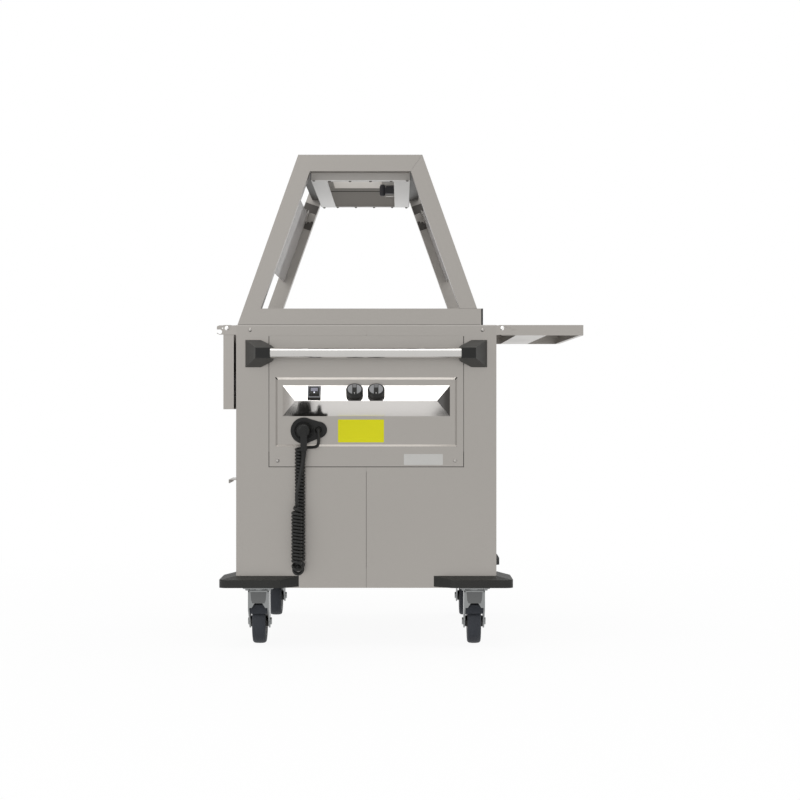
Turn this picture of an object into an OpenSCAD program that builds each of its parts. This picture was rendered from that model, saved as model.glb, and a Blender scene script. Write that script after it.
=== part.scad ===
// Heated buffet trolley: a cabinet on four swivel casters, with two wells in its deck,
// a bridge with sneeze guards and a lamp housing, a folding tray slide on each long side,
// and a parked supply plug on a curly cord.
// The handle end faces -Y. Millimetres throughout.

/* [Body] */
// Width of the cabinet
body_w = 727.2; // [700:10:900]
// Length of the cabinet
body_l = 850; // [850:10:1100]
// Height of the deck above the floor
body_top = 900; // [860:5:960]
// Height of the cabinet's lower edge above the floor
body_bottom = 165.5; // [165:1:180]
// Thickness of the cabinet sheet
sheet_t = 1.5; // [1:0.1:2]
// Height of the flange that the deck turns down inside the walls
deck_flange = 26; // [15:1:40]
// Height of the chassis tray
chassis_h = 30; // [20:1:40]
// Thickness of the chassis tray
chassis_t = 3; // [2:0.5:5]
// Width of the seam between the two halves of the cabinet
seam = 1; // [0.5:0.1:2]

/* [Wells] */
// Width of a well's mouth
well_w = 510; // [480:1:540]
// Length of a well's mouth
well_l = 308; // [280:1:330]
// Depth of a well
well_depth = 200; // [100:5:220]
// Corner radius of a well
well_r = 30; // [15:1:50]
// Sheet thickness of a well
well_t = 1.2; // [0.8:0.1:2]
// Width of the rim that rests on the deck
well_rim = 14; // [8:1:20]
// Space between the middles of the two wells
well_pitch = 356; // [345:1:380]
// Thickness of a heating plate
heater_t = 8; // [4:1:15]
// Inset of a heating plate from the well's wall
heater_inset = 40; // [20:1:80]

/* [Service panel] */
// Width of the service opening
service_w = 546; // [500:1:600]
// Height of the service opening's lower edge
service_low = 502.6; // [480:1:540]
// Height of the service opening's upper edge
service_high = 870; // [850:1:872]
// Gap along the sides of the service panel
service_gap = 2; // [0.5:0.1:4]
// Width by which the panel's frame lies behind the cabinet sheet
service_lap = 12; // [6:1:20]
// Width of the raised field
field_w = 507; // [480:1:515]
// Height of the raised field's lower edge
field_low = 560.5; // [540:1:570]
// Height of the raised field's upper edge
field_high = 753.5; // [740:1:770]
// How far the field stands out
field_rise = 6; // [3:0.5:10]

/* [Control console] */
// Width of the console at its base
console_w = 467; // [440:1:480]
// Height of the console at its base
console_h = 86; // [84:1:92]
// How far the ridge stands out
console_rise = 43; // [38:1:48]
// Inset of the ridge's ends
console_end = 37; // [20:1:60]
// Height of the ridge above the floor
console_z = 688; // [670:1:700]
// Diameter of a thermostat knob
knob_d = 47.5; // [40:0.5:52]
// Height of a thermostat knob
knob_h = 16; // [10:0.5:24]
// Middle of the left knob, from the cabinet's middle
knob_left_x = -32; // [-50:1:-28]
// Middle of the right knob
knob_right_x = 28; // [26:1:60]
// Width of the main switch's bezel
switch_w = 36; // [30:1:42]
// Length of the main switch's bezel
switch_l = 48; // [40:1:52]
// Middle of the main switch
switch_x = -144; // [-170:1:-120]

/* [Push handle] */
// Diameter of the handle tube
handle_d = 28; // [22:0.5:32]
// Wall of the handle tube
handle_t = 2; // [1:0.5:4]
// Height of the handle tube's axis
handle_z = 820; // [800:1:830]
// How far the tube's axis stands in front of the cabinet
handle_out = 72; // [60:1:90]
// Outer edge of a bracket, from the middle
bracket_reach = 337.5; // [320:0.5:345]
// Width of a bracket's foot
bracket_w = 70; // [60:1:80]
// Height of a bracket's foot
bracket_h = 76; // [60:1:84]
// Height of a bracket's boss
boss_h = 34; // [33:1:44]

/* [Bumpers] */
// How far a corner bumper stands out
bumper_out = 45; // [30:1:60]
// Length of a bumper's arm from its outer corner
bumper_arm = 220; // [180:1:260]
// Length over which an arm tapers back
bumper_taper = 50; // [20:1:80]
// Height of a bumper's underside
bumper_z = 169; // [167:1:180]
// Height of a bumper's outer face
bumper_face = 22; // [15:1:30]
// Height of a bumper at the cabinet
bumper_h = 30; // [24:1:40]
// Radius of a bumper's outer corner
bumper_r = 22; // [10:1:40]

/* [Casters] */
// Diameter of a wheel
wheel_d = 125; // [110:1:130]
// Width of a wheel
wheel_w = 38; // [30:1:40]
// Inset of a caster's swivel axis from the cabinet's edges
caster_inset = 60; // [55:1:80]
// Distance of the axle behind the swivel axis
caster_trail = 36; // [25:1:42]
// Outer width of a fork
fork_w = 59; // [54:1:64]
// Thickness of a fork's sheet
fork_t = 4; // [3:0.5:5]

/* [Bridge] */
// Overall height of the trolley
bridge_top = 1375.8; // [1340:1:1400]
// Side of the square tube of an end frame
tube_w = 46; // [40:1:50]
// Wall of the square tube
tube_t = 2; // [1.5:0.5:4]
// Half width of an end frame at its top
bridge_half_top = 173.2; // [165:1:185]
// Half width of an end frame at the deck
bridge_half_low = 343.1; // [325:1:345]
// Offset of the bridge's middle from the cabinet's middle
bridge_x = -17; // [-18:1:17]
// Thickness of the cap on an open tube end
cap_t = 5; // [3:0.5:8]

/* [Lamp housing] */
// Width of the lamp housing
lamp_w = 278; // [260:1:284]
// Height of the lamp housing
lamp_h = 62; // [50:1:66]
// Depth of its underside below the bridge's top
lamp_drop = 67.8; // [64:0.1:76]
// Width of the flange left and right of the light opening
lamp_flange = 45; // [35:1:60]
// Width of the flange at the two ends of the opening
lamp_end = 20; // [12:1:30]

/* [Sneeze guards] */
// Height over which a pane reaches
pane_h = 214; // [190:1:250]
// Depth of a pane's upper edge below the bridge's top
pane_drop = 85.8; // [80:0.1:106]
// Thickness of a pane
pane_t = 6; // [5:0.5:8]
// Distance of a pane's outer face inside the legs' outer face
pane_inset = 16; // [14:1:20]

/* [Tray slides] */
// Depth of a tray slide
tray_w = 235.5; // [200:1:236]
// Height of a tray slide's apron
tray_h = 29; // [24:1:32]
// Sheet thickness of a tray slide
tray_t = 1.5; // [1:0.1:2]
// Distance of the inner edge from the pivot
tray_back = 9; // [8:0.5:9.5]
// Height of a tray's top above the pivot
tray_above = 9; // [7:0.5:9]
// Pivot's distance from the cabinet with the tray raised
pivot_in = 16.7; // [15:0.1:20]
// How far the pivot slides out as the tray folds down
pivot_travel = 10.3; // [8:0.1:12]
// Thickness of a support arm
arm_t = 3; // [2:0.5:4]
// How far a support arm reaches
arm_reach = 53.8; // [50:0.2:58]

/* [Doors] */
// Height of the doors' lower edge
door_low = 205; // [203:1:230]
// Height of the doors' upper edge
door_high = 650; // [600:1:652]
// Thickness of a door
door_t = 18; // [14:1:24]
// Width of the frame beside a door at the cabinet's end
door_side = 50; // [40:1:70]
// Width of the middle post
door_post = 30; // [20:1:50]
// Height of a door handle's top
grip_z = 462; // [420:1:500]
// Length of a door handle
grip_l = 150; // [100:1:200]
// How far a door handle stands out
grip_out = 35; // [25:1:45]

/* [Supply cord] */
// Diameter of the cord
cord_d = 8.5; // [6:0.5:9]
// Mean radius of the curls
curl_r = 10.7; // [10:0.1:12]
// Pitch of the curls
curl_pitch = 9.4; // [9.2:0.1:11]
// Radius of the bend at the bottom of the loop
curl_bend = 27; // [27:1:30]

/* [Hidden] */
$fn = 48;
// Overrun of every cut, gap between moving parts, and play of a running fit
over = 1;
gap = 0.5;
play = 0.06;
half_w = body_w / 2;
half_l = body_l / 2;
// The trolley's origin is the middle of its footprint on the floor
reach_right = half_w + pivot_in - tray_back + tray_w;
reach_left = half_w + arm_reach;
reach_rear = half_l + bumper_out;
reach_front = half_l + handle_out + boss_h / 2;
home_x = (reach_left - reach_right) / 2;
home_y = (reach_front - reach_rear) / 2;
inner_w = body_w - 2 * sheet_t;
inner_l = body_l - 2 * sheet_t;
deck_low = body_top - sheet_t;
steel = [0.66, 0.64, 0.62];
bright = [0.80, 0.80, 0.80];
black = [0.13, 0.13, 0.13];

module at_home() {
    translate([home_x, home_y, 0]) children();
}

module slab(size, at = [0, 0, 0]) {
    translate(at) translate([-size[0] / 2, -size[1] / 2, 0]) cube(size);
}

module rounded(w, l, r) {
    square([w - 2 * r, l], center = true);
    square([w, l - 2 * r], center = true);
    for (x = [-1, 1], y = [-1, 1]) translate([x * (w / 2 - r), y * (l / 2 - r)]) circle(r);
}

module rounded_slab(w, l, r, h) {
    linear_extrude(h) rounded(w, l, r);
}

// Stands a profile drawn in X and Z upright and runs it along Y
module along_y(length) {
    translate([0, length / 2, 0]) rotate([90, 0, 0]) linear_extrude(length) children();
}

// Runs a profile drawn in Y and Z along X
module along_x(length) {
    translate([-length / 2, 0, 0]) rotate([90, 0, 90]) linear_extrude(length) children();
}

module both_sides() {
    children();
    mirror([1, 0, 0]) children();
}

// Deck and wells
well_cut = well_t + gap;

module deck() {
    color(steel) at_home() {
        difference() {
            slab([body_w, body_l, sheet_t], [0, 0, deck_low]);
            for (s = [-1, 1]) translate([0, s * well_pitch / 2, deck_low - over])
                rounded_slab(well_w + 2 * well_cut, well_l + 2 * well_cut, well_r + well_cut, sheet_t + 2 * over);
        }
        difference() {
            slab([inner_w, inner_l, deck_flange], [0, 0, deck_low - deck_flange]);
            slab([inner_w - 2 * sheet_t, inner_l - 2 * sheet_t, deck_flange + 2 * over],
                [0, 0, deck_low - deck_flange - over]);
        }
    }
}

module basin() {
    difference() {
        union() {
            translate([0, 0, body_top])
                rounded_slab(well_w + 2 * well_rim, well_l + 2 * well_rim, well_r + well_rim, well_t);
            translate([0, 0, body_top - well_depth])
                rounded_slab(well_w + 2 * well_t, well_l + 2 * well_t, well_r + well_t, well_depth);
        }
        translate([0, 0, body_top - well_depth + well_t])
            rounded_slab(well_w, well_l, well_r, well_depth + over);
    }
}

module wells() {
    color(bright) at_home() for (s = [-1, 1]) translate([0, s * well_pitch / 2, 0]) basin();
}

module heating_plates() {
    color("dimgray") at_home() for (s = [-1, 1])
        translate([0, s * well_pitch / 2, body_top - well_depth - heater_t])
            rounded_slab(well_w - 2 * heater_inset, well_l - 2 * heater_inset, well_r, heater_t);
}

// Cabinet halves
wall_h = deck_low - body_bottom;
door_reach = half_l - door_side;
door_hole_l = door_reach - door_post / 2;
frame_depth = door_t + 4 * sheet_t;

module half_shell() {
    x0 = seam / 2;
    difference() {
        translate([x0, -half_l, body_bottom]) cube([half_w - x0, body_l, wall_h]);
        translate([x0 - over, -half_l + sheet_t, body_bottom - over])
            cube([half_w - x0 - sheet_t + over, inner_l, wall_h + 2 * over]);
        translate([x0 - over, -half_l - over, service_low])
            cube([service_w / 2 - x0 + over, sheet_t + 2 * over, service_high - service_low]);
    }
}

module door_holes(grow, depth) {
    for (s = [-1, 1])
        translate([-half_w - over, s * (door_reach + door_post / 2) / 2, door_low - grow])
            translate([0, -door_hole_l / 2 - grow, 0])
                cube([depth + over, door_hole_l + 2 * grow, door_high - door_low + 2 * grow]);
}

module shell_left() {
    color(steel) at_home() difference() {
        union() {
            mirror([1, 0, 0]) half_shell();
            intersection() {
                door_holes(sheet_t, frame_depth);
                translate([-half_w, -half_l, body_bottom]) cube([half_w, body_l, wall_h]);
            }
        }
        door_holes(0, frame_depth + over);
    }
}

module shell_right() {
    color(steel) at_home() half_shell();
}

module chassis_tray() {
    color(steel) at_home() difference() {
        slab([inner_w, inner_l, chassis_h], [0, 0, body_bottom]);
        slab([inner_w - 2 * sheet_t, inner_l - 2 * sheet_t, chassis_h],
            [0, 0, body_bottom + chassis_t]);
    }
}

ceiling_z = door_high + 5 * sheet_t;
ceiling_lip = 20;

// Reaches from the back of the service panel to the rear wall
module inner_ceiling() {
    color(steel) at_home() translate([0, sheet_t / 2, ceiling_z]) difference() {
        slab([inner_w, inner_l - sheet_t, ceiling_lip]);
        slab([inner_w - 2 * sheet_t, inner_l - 3 * sheet_t, ceiling_lip], [0, 0, sheet_t]);
    }
}

// Service panel with its raised field, and the console on it
module bevelled(w, h, rise, end, side) {
    intersection() {
        along_z_profile(w, h, rise, end);
        along_x(w + over) polygon([[0, -h / 2], [0, h / 2], [-rise, h / 2 - side], [-rise, side - h / 2]]);
    }
}

module along_z_profile(w, h, rise, end) {
    translate([0, 0, -h / 2 - over / 2]) linear_extrude(h + over)
        polygon([[-w / 2, 0], [w / 2, 0], [w / 2 - end, -rise], [end - w / 2, -rise]]);
}

field_h = field_high - field_low;
field_mid = (field_high + field_low) / 2;
field_y = -half_l - field_rise;
panel_w = service_w - 2 * service_gap;
panel_low = service_low + service_gap;
panel_top = service_high - service_gap / 4;

top_run = console_h / 2;
// Height of the opening behind the console that the main switch reaches into
switch_room_share = 0.8;
switch_room = switch_room_share * top_run;

module service_panel() {
    front = -half_l;
    color(steel) at_home() {
        difference() {
            union() {
                translate([-panel_w / 2, front, panel_low]) cube([panel_w, 2 * sheet_t, panel_top - panel_low]);
                translate([-service_w / 2 - service_lap, front + sheet_t, service_low - service_lap])
                    cube([service_w + 2 * service_lap, sheet_t, service_high - service_low + service_lap]);
                translate([0, front, field_mid])
                    bevelled(field_w, field_h, field_rise, field_rise, field_rise);
            }
            translate([0, front + sheet_t, field_mid])
                bevelled(field_w - 2 * field_rise, field_h - 2 * field_rise, field_rise, sheet_t, sheet_t);
            translate([0, front + over, field_mid - field_h / 2 + field_rise])
                slab([field_w - 2 * field_rise, 4 * sheet_t + 2 * over, field_h - 2 * field_rise],
                    [0, sheet_t, 0]);
            slab([switch_w, 4 * sheet_t, switch_room], [switch_x, field_y, console_z]);
        }
    }
}

face_tilt = atan(top_run / console_rise);

// Puts its children on the middle of the console's upper face, with +Z out of the face
module on_face(x) {
    translate([x, field_y - console_rise / 2, console_z + top_run / 2])
        rotate([face_tilt, 0, 0]) children();
}

module console_body(w, h, rise, end) {
    intersection() {
        along_z_profile(w, h, rise, end);
        along_x(w + over) polygon([[0, -h / 2], [0, h / 2], [-rise, 0]]);
    }
}

shaft_d = 6;

module control_console() {
    color(bright) at_home() difference() {
        translate([0, field_y, console_z]) console_body(console_w, console_h, console_rise, console_end);
        translate([0, field_y + sheet_t, console_z])
            console_body(console_w - 2 * sheet_t, console_h - 2 * sheet_t, console_rise - sheet_t, console_end);
        for (x = [knob_left_x, knob_right_x]) on_face(x)
            translate([0, 0, -4 * sheet_t]) cylinder(d = shaft_d + 4 * play, h = 8 * sheet_t);
        on_face(switch_x) slab([switch_w - 4 * sheet_t, switch_l - 4 * sheet_t, 8 * sheet_t], [0, 0, -4 * sheet_t]);
    }
}

// Push handle
handle_y = -half_l - handle_out;
bracket_foot = 10;
bracket_chamfer = 14;
bracket_slope = 9;
collar_l = 9;
boss_w = 54;

module handle_tube() {
    color(bright) at_home() translate([0, handle_y, handle_z]) along_x(2 * bracket_reach - bracket_w)
        difference() {
            circle(d = handle_d);
            circle(d = handle_d - 2 * handle_t);
        }
}

module bracket() {
    c = bracket_chamfer;
    x1 = bracket_reach;
    x0 = bracket_reach - bracket_w;
    zh = bracket_h / 2;
    difference() {
        union() {
            translate([0, -half_l - bracket_foot / 2, handle_z]) along_y(bracket_foot)
                polygon([[x1, -zh], [x1, zh], [x0 + c, zh], [x0, zh - c], [x0, c - zh], [x0 + c, -zh]]);
            hull() {
                translate([0, -half_l - bracket_foot, handle_z]) along_y(sheet_t)
                    polygon([[x1 - bracket_slope, bracket_slope - zh], [x1 - bracket_slope, zh - bracket_slope],
                        [x0 + c, zh - bracket_slope], [x0, zh - c], [x0, c - zh],
                        [x0 + c, bracket_slope - zh]]);
                translate([x0, handle_y - boss_h / 2, handle_z - boss_h / 2])
                    cube([boss_w, boss_h, boss_h]);
            }
            translate([x0 - collar_l, handle_y, handle_z]) rotate([0, 90, 0])
                cylinder(d = handle_d + 4 * handle_t, h = 2 * collar_l);
        }
        translate([x0 - 2 * collar_l, handle_y, handle_z]) rotate([0, 90, 0])
            cylinder(d = handle_d + 2 * play, h = bracket_w / 2 + 2 * collar_l);
    }
}

module handle_brackets() {
    color(black) at_home() both_sides() bracket();
}

// Corner bumpers
module bumper_plan() {
    b = bumper_out;
    r = bumper_r;
    end = bumper_arm - bumper_taper;
    difference() {
        union() {
            polygon([[-b, r - b], [-b, end - b], [0, bumper_arm - b], [0, 0], [bumper_arm - b, 0],
                [end - b, -b], [r - b, -b]]);
            translate([r - b, r - b]) circle(r);
        }
        translate([0, 0]) square(bumper_arm);
    }
}

module bumper_profile() {
    polygon([[-bumper_out, 0], [-bumper_out, bumper_face], [0, bumper_h], [bumper_arm, bumper_h],
        [bumper_arm, 0]]);
}

module corner_bumpers() {
    color(black) at_home() for (y = [0, 1]) mirror([0, y, 0]) both_sides()
        translate([-half_w, -half_l, bumper_z]) intersection() {
            linear_extrude(bumper_h) bumper_plan();
            translate([0, bumper_arm / 2, 0]) along_y(2 * bumper_arm) bumper_profile();
            translate([bumper_arm / 2, 0, 0]) along_x(2 * bumper_arm) bumper_profile();
        }
}

// Casters
caster_x = half_w - caster_inset;
caster_y = half_l - caster_inset;
plate_w = 84;
plate_l = 104;
plate_t = 4;
plate_hole = 8;
plate_edge = 12;
plate_low = body_bottom - plate_t;
race_d = 52;
race_h = 6;
race_low = plate_low - race_h;
king_d = 12;
crown_t = 5;
crown_top = race_low - gap;
crown_low = crown_top - crown_t;
wheel_r = wheel_d / 2;
axle_d = 12;
axle_head = 20;
axle_head_t = 4;
leg_r = 19;
leg_front = 30;
leg_rear = 24;
pedal_y = -18;
pedal_z = wheel_d - 15;
pedal_pin = 5;

module caster_plates() {
    color("silver") at_home() for (x = [-1, 1], y = [-1, 1]) translate([x * caster_x, y * caster_y, 0]) {
        difference() {
            union() {
                slab([plate_w, plate_l, plate_t], [0, 0, plate_low]);
                translate([0, 0, race_low]) cylinder(d = race_d, h = race_h);
            }
            translate([0, 0, race_low - over]) cylinder(d = king_d + 2 * play, h = race_h + plate_t);
            for (u = [-1, 1], v = [-1, 1])
                translate([u * (plate_w / 2 - plate_edge), v * (plate_l / 2 - plate_edge), plate_low - over])
                    cylinder(d = plate_hole, h = plate_t + 2 * over);
        }
    }
}

module leg_outline() {
    polygon([[-leg_front, crown_low], [-leg_front, pedal_z - leg_r / 2], [caster_trail - leg_r, wheel_r],
        [caster_trail + leg_r, wheel_r], [leg_rear + leg_r / 2, crown_low], [leg_rear, crown_top],
        [-leg_front + fork_t, crown_top]]);
    translate([caster_trail, wheel_r]) circle(leg_r);
}

module fork(x, y) {
    inner = fork_w / 2 - fork_t;
    web_low = wheel_d - leg_r;
    color("silver") at_home() translate([x * caster_x, y * caster_y, 0]) {
        difference() {
            union() {
                both_sides() translate([fork_w / 2 - fork_t / 2, 0, 0]) along_x(fork_t) leg_outline();
                translate([-inner - fork_t / 2, -leg_front + fork_t, crown_low])
                    cube([2 * inner + fork_t, leg_front + leg_rear - fork_t, crown_t]);
                difference() {
                    translate([0, -leg_front + fork_t / 2, web_low]) {
                        slab([2 * inner, fork_t, crown_top - web_low]);
                        slab([2 * inner + fork_t, fork_t, crown_low - web_low]);
                    }
                    translate([0, -leg_front + fork_t / 2, web_low]) along_y(fork_t + 2 * over)
                        polygon([[-inner, -over], [-leg_r, 0], [-leg_r / 2, leg_r - fork_t],
                            [leg_r / 2, leg_r - fork_t], [leg_r, 0], [inner, -over]]);
                }
                translate([0, 0, crown_low]) cylinder(d = king_d, h = plate_low - crown_low);
            }
            translate([0, caster_trail, wheel_r]) rotate([0, 90, 0])
                cylinder(d = axle_d, h = 2 * fork_w, center = true);
            translate([0, pedal_y, pedal_z]) rotate([0, 90, 0])
                cylinder(d = pedal_pin + 2 * play, h = 2 * fork_w, center = true);
        }
        translate([0, caster_trail, wheel_r]) rotate([0, 90, 0]) {
            cylinder(d = axle_d, h = fork_w, center = true);
            for (s = [0, 1]) mirror([0, 0, s]) translate([0, 0, fork_w / 2])
                cylinder(d = axle_head, h = axle_head_t, $fn = 6);
        }
    }
}

rim_r = 47;
hub_r = 15;
tyre_round = 7;
rim_web = 8;

module wheel(x, y) {
    hw = wheel_w / 2;
    t = tyre_round;
    hub_hw = fork_w / 2 - fork_t - gap;
    at_home() translate([x * caster_x, y * caster_y + caster_trail, wheel_r]) rotate([0, 90, 0]) {
        color([0.23, 0.24, 0.26]) rotate_extrude($fn = 72) {
            translate([rim_r, -hw]) square([wheel_r - t - rim_r, wheel_w]);
            translate([rim_r, t - hw]) square([wheel_r - rim_r, wheel_w - 2 * t]);
            for (s = [-1, 1]) translate([wheel_r - t, s * (hw - t)]) circle(t);
        }
        color("lightgray") rotate_extrude($fn = 72) difference() {
            union() {
                translate([axle_d / 2 + play, -hub_hw]) square([hub_r - axle_d / 2, 2 * hub_hw]);
                translate([axle_d / 2 + play, -rim_web / 2]) square([rim_r - axle_d / 2 - play, rim_web]);
                translate([rim_r - rim_web / 2, t / 2 - hw]) square([rim_web / 2, wheel_w - t]);
            }
        }
    }
}

module brake_pedal(x) {
    w = fork_w - 2 * fork_t - 4 * gap;
    color(black) at_home() translate([x * caster_x, -caster_y, 0]) {
        translate([0, pedal_y, pedal_z]) {
            along_x(w) {
                circle(pedal_pin);
                polygon([[-pedal_pin, 0], [0, -pedal_pin], [-2 * pedal_pin, -4 * pedal_pin],
                    [-3 * pedal_pin, -4 * pedal_pin]]);
            }
            rotate([0, 90, 0]) cylinder(d = pedal_pin, h = fork_w, center = true);
        }
    }
}

module fork_front_left() { fork(-1, -1); }
module fork_front_right() { fork(1, -1); }
module fork_rear_left() { fork(-1, 1); }
module fork_rear_right() { fork(1, 1); }
module wheel_front_left() { wheel(-1, -1); }
module wheel_front_right() { wheel(1, -1); }
module wheel_rear_left() { wheel(-1, 1); }
module wheel_rear_right() { wheel(1, 1); }
module brake_pedal_left() { brake_pedal(-1); }
module brake_pedal_right() { brake_pedal(1); }

// Bridge
lean = (bridge_half_low - bridge_half_top) / (bridge_top - body_top);
leg_run = tube_w * sqrt(1 + lean * lean);
frame_y = half_l - tube_w / 2;
seat = 0.4;

function leg_x(z, inset) = bridge_half_low - lean * (z - body_top) - inset * sqrt(1 + lean * lean);

module frame_outline(inset, cut) {
    low = body_top + inset;
    high = bridge_top - inset;
    bar = body_top + tube_w - inset;
    rail = bridge_top - tube_w + inset;
    inner = tube_w - inset;
    end = bridge_half_low - cap_t + cut;
    polygon([[-leg_x(low, inset), low], [-leg_x(high, inset), high], [leg_x(high, inset), high],
        [leg_x(rail, inner), rail], [-leg_x(rail, inner), rail], [-leg_x(bar, inner), bar],
        [end, bar], [end, low]]);
}

module end_frame(s) {
    color(steel) at_home() translate([bridge_x, s * frame_y, 0]) difference() {
        along_y(tube_w) frame_outline(0, 0);
        along_y(tube_w - 2 * tube_t) frame_outline(tube_t, over);
        along_y(tube_w + over) right_of_mitre();
    }
}

// Everything beyond the mitre between the top rail and the right leg
module right_of_mitre() {
    rail = bridge_top - tube_w;
    polygon([[leg_x(bridge_top, 0), bridge_top], [leg_x(rail, tube_w), rail],
        [leg_x(rail, 0) + tube_w, rail], [leg_x(bridge_top, 0) + tube_w, bridge_top + over]]);
}

module right_leg_outline(inset) {
    low = body_top + tube_w + seat - over * min(inset, 1);
    rail = bridge_top - tube_w;
    out = over * min(inset, 1);
    polygon([[leg_x(low, inset), low], [leg_x(bridge_top, inset) + seat, bridge_top - inset + out],
        [leg_x(rail, tube_w - inset) + seat, rail + out - inset], [leg_x(low, tube_w - inset), low]]);
}

module frame_right_legs() {
    color(steel) at_home() for (s = [-1, 1]) translate([bridge_x, s * frame_y, 0]) difference() {
        along_y(tube_w) right_leg_outline(0);
        along_y(tube_w - 2 * tube_t) right_leg_outline(tube_t);
    }
}

module frame_front() { end_frame(-1); }
module frame_rear() { end_frame(1); }

module frame_end_caps() {
    color(black) at_home() for (s = [-1, 1])
        slab([cap_t, tube_w, tube_w], [bridge_x + bridge_half_low - cap_t / 2, s * frame_y, body_top]);
}

// Lamp housing
lamp_l = 2 * frame_y - tube_w;
lamp_z = bridge_top - lamp_drop;
lamp_t = 1.5;
lamp_screw = 8;

module lamp_housing() {
    color(steel) at_home() translate([bridge_x, 0, lamp_z + lamp_t]) difference() {
        slab([lamp_w, lamp_l, lamp_h]);
        slab([lamp_w - 2 * lamp_t, lamp_l - 2 * lamp_t, lamp_h], [0, 0, -lamp_t]);
        translate([lamp_w / 2, rocker_y, (lamp_h - rocker_hole) / 2])
            slab([4 * lamp_t, rocker_hole, rocker_hole]);
    }
}

module lamp_cover() {
    color([0.85, 0.85, 0.84]) at_home() translate([bridge_x, 0, lamp_z]) difference() {
        slab([lamp_w, lamp_l, lamp_t]);
        slab([lamp_w - 2 * lamp_flange, lamp_l - 2 * lamp_end, 3 * lamp_t], [0, 0, -lamp_t]);
    }
}

panel_t = 10;

module lamp_panel() {
    color([0.55, 0.52, 0.50]) at_home()
        slab([lamp_w - 2 * lamp_flange - 4 * panel_t, lamp_l - 4 * lamp_flange, panel_t],
            [bridge_x - 2 * panel_t, 0, lamp_z + lamp_h - panel_t]);
}

rocker_w = 30;
rocker_hole = rocker_w - 4 * lamp_t;
rocker_t = 4;
rocker_y = 175;
rocker_z = lamp_z + lamp_t + lamp_h / 2;
rocker_pin = 3;
rocker_slope = 8;

// A rocker in its bezel, drawn with +Z out of the panel and the rocker's axle along X
module bezel(w, l) {
    difference() {
        union() {
            slab([w, l, rocker_t / 2]);
            slab([w - 4 * sheet_t - 2 * gap, l - 4 * sheet_t - 2 * gap, 4 * rocker_t], [0, 0, -4 * rocker_t]);
        }
        slab([w - 8 * sheet_t, l - 8 * sheet_t, 4 * rocker_t], [0, 0, -2 * rocker_t]);
        translate([0, 0, -rocker_t / 2]) rotate([0, 90, 0])
            cylinder(d = rocker_pin + 2 * play, h = w - 6 * sheet_t, center = true);
    }
}

module rocker(w, l) {
    rw = w - 8 * sheet_t - 2 * gap;
    rl = l - 8 * sheet_t - 6 * gap;
    rise = rl / rocker_slope;
    translate([-rw / 2, 0, 0]) rotate([90, 0, 90]) linear_extrude(rw)
        polygon([[-rl / 2, 0], [0, rise / 4], [rl / 2, rise], [rl / 2 - rocker_t / 4, -rocker_t],
            [rocker_t / 4 - rl / 2, -rocker_t]]);
    translate([0, 0, -rocker_t / 2]) rotate([0, 90, 0])
        cylinder(d = rocker_pin, h = w - 6 * sheet_t - 2 * play, center = true);
}

module on_lamp_wall() {
    translate([bridge_x + lamp_w / 2, rocker_y, rocker_z]) rotate([0, 90, 0]) rotate([0, 0, 90]) children();
}

module lamp_switch_bezel() { color(black) at_home() on_lamp_wall() bezel(rocker_w, rocker_w); }
module lamp_rocker() { color(black) at_home() on_lamp_wall() rocker(rocker_w, rocker_w); }
module switch_bezel() { color(black) at_home() on_face(switch_x) bezel(switch_w, switch_l); }
module switch_rocker() { color(black) at_home() on_face(switch_x) rocker(switch_w, switch_l); }

// Sneeze guards, their pivots and the notched plates
lean_angle = atan(lean);
// Where the panes, their pivots and the plates lie, from the bridge's top down
pane_high = bridge_top - pane_drop;
pane_low = pane_high - pane_h;
pane_over = 11;
pivot_z = pane_high - pane_over;
bearing_below = 31;
bearing_above = 46;
bearing_low = pivot_z - bearing_below;
bearing_high = pivot_z + bearing_above;
bearing_t = 4;
notch_below = 19;
notch_above = 20;
notch_low = pivot_z - notch_below;
notch_high = pivot_z + notch_above;
notch_t = 3;
notch_r = 5;
notch_run = 30;
notch_rise = 15;
pane_pin = 8;
clamp_w = 44;
clamp_l = 60;
clamp_t = 2.5;
clamp_hole = 5;
pane_x = pane_inset + pane_t / 2;
leg_face = half_l - tube_w;
lug_y = leg_face - bearing_t - notch_t - gap;
pane_end = lug_y - clamp_t - gap;

// Distance up the leg at a height above the floor
function up(z) = (z - body_top) / cos(lean_angle);

// The leg's own frame: +Z runs up along its outer face, +X points inside the bridge
module on_leg(right) {
    translate([bridge_x, 0, 0]) mirror([right, 0, 0]) translate([-bridge_half_low, 0, body_top])
        rotate([0, lean_angle, 0]) children();
}

module pin_hole(depth) {
    translate([pane_x, -depth / 2, up(pivot_z)]) rotate([-90, 0, 0])
        cylinder(d = pane_pin + 2 * play, h = depth);
}

module bearing_plates() {
    color(black) at_home() for (right = [0, 1], s = [0, 1]) mirror([0, s, 0]) on_leg(right)
        translate([0, leg_face - bearing_t / 2, 0]) difference() {
            slab([tube_w, bearing_t, up(bearing_high) - up(bearing_low)], [tube_w / 2, 0, up(bearing_low)]);
            pin_hole(2 * bearing_t);
        }
}

module notch_plates() {
    zl = up(notch_low);
    zh = up(notch_high);
    color(steel) at_home() for (right = [0, 1], s = [0, 1]) mirror([0, s, 0]) on_leg(right)
        translate([0, leg_face - bearing_t - notch_t / 2, 0]) difference() {
            along_y(notch_t) polygon([[0, zl], [tube_w - notch_run, zl], [tube_w, zl + notch_rise],
                [tube_w, zh], [0, zh]]);
            pin_hole(2 * notch_t);
            for (i = [1, 3, 5]) translate([tube_w - i * notch_run / 6, 0, zl + notch_rise * (1 - i / 6)])
                rotate([90, 0, 0]) cylinder(r = notch_r, h = 2 * notch_t, center = true);
        }
}

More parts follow.
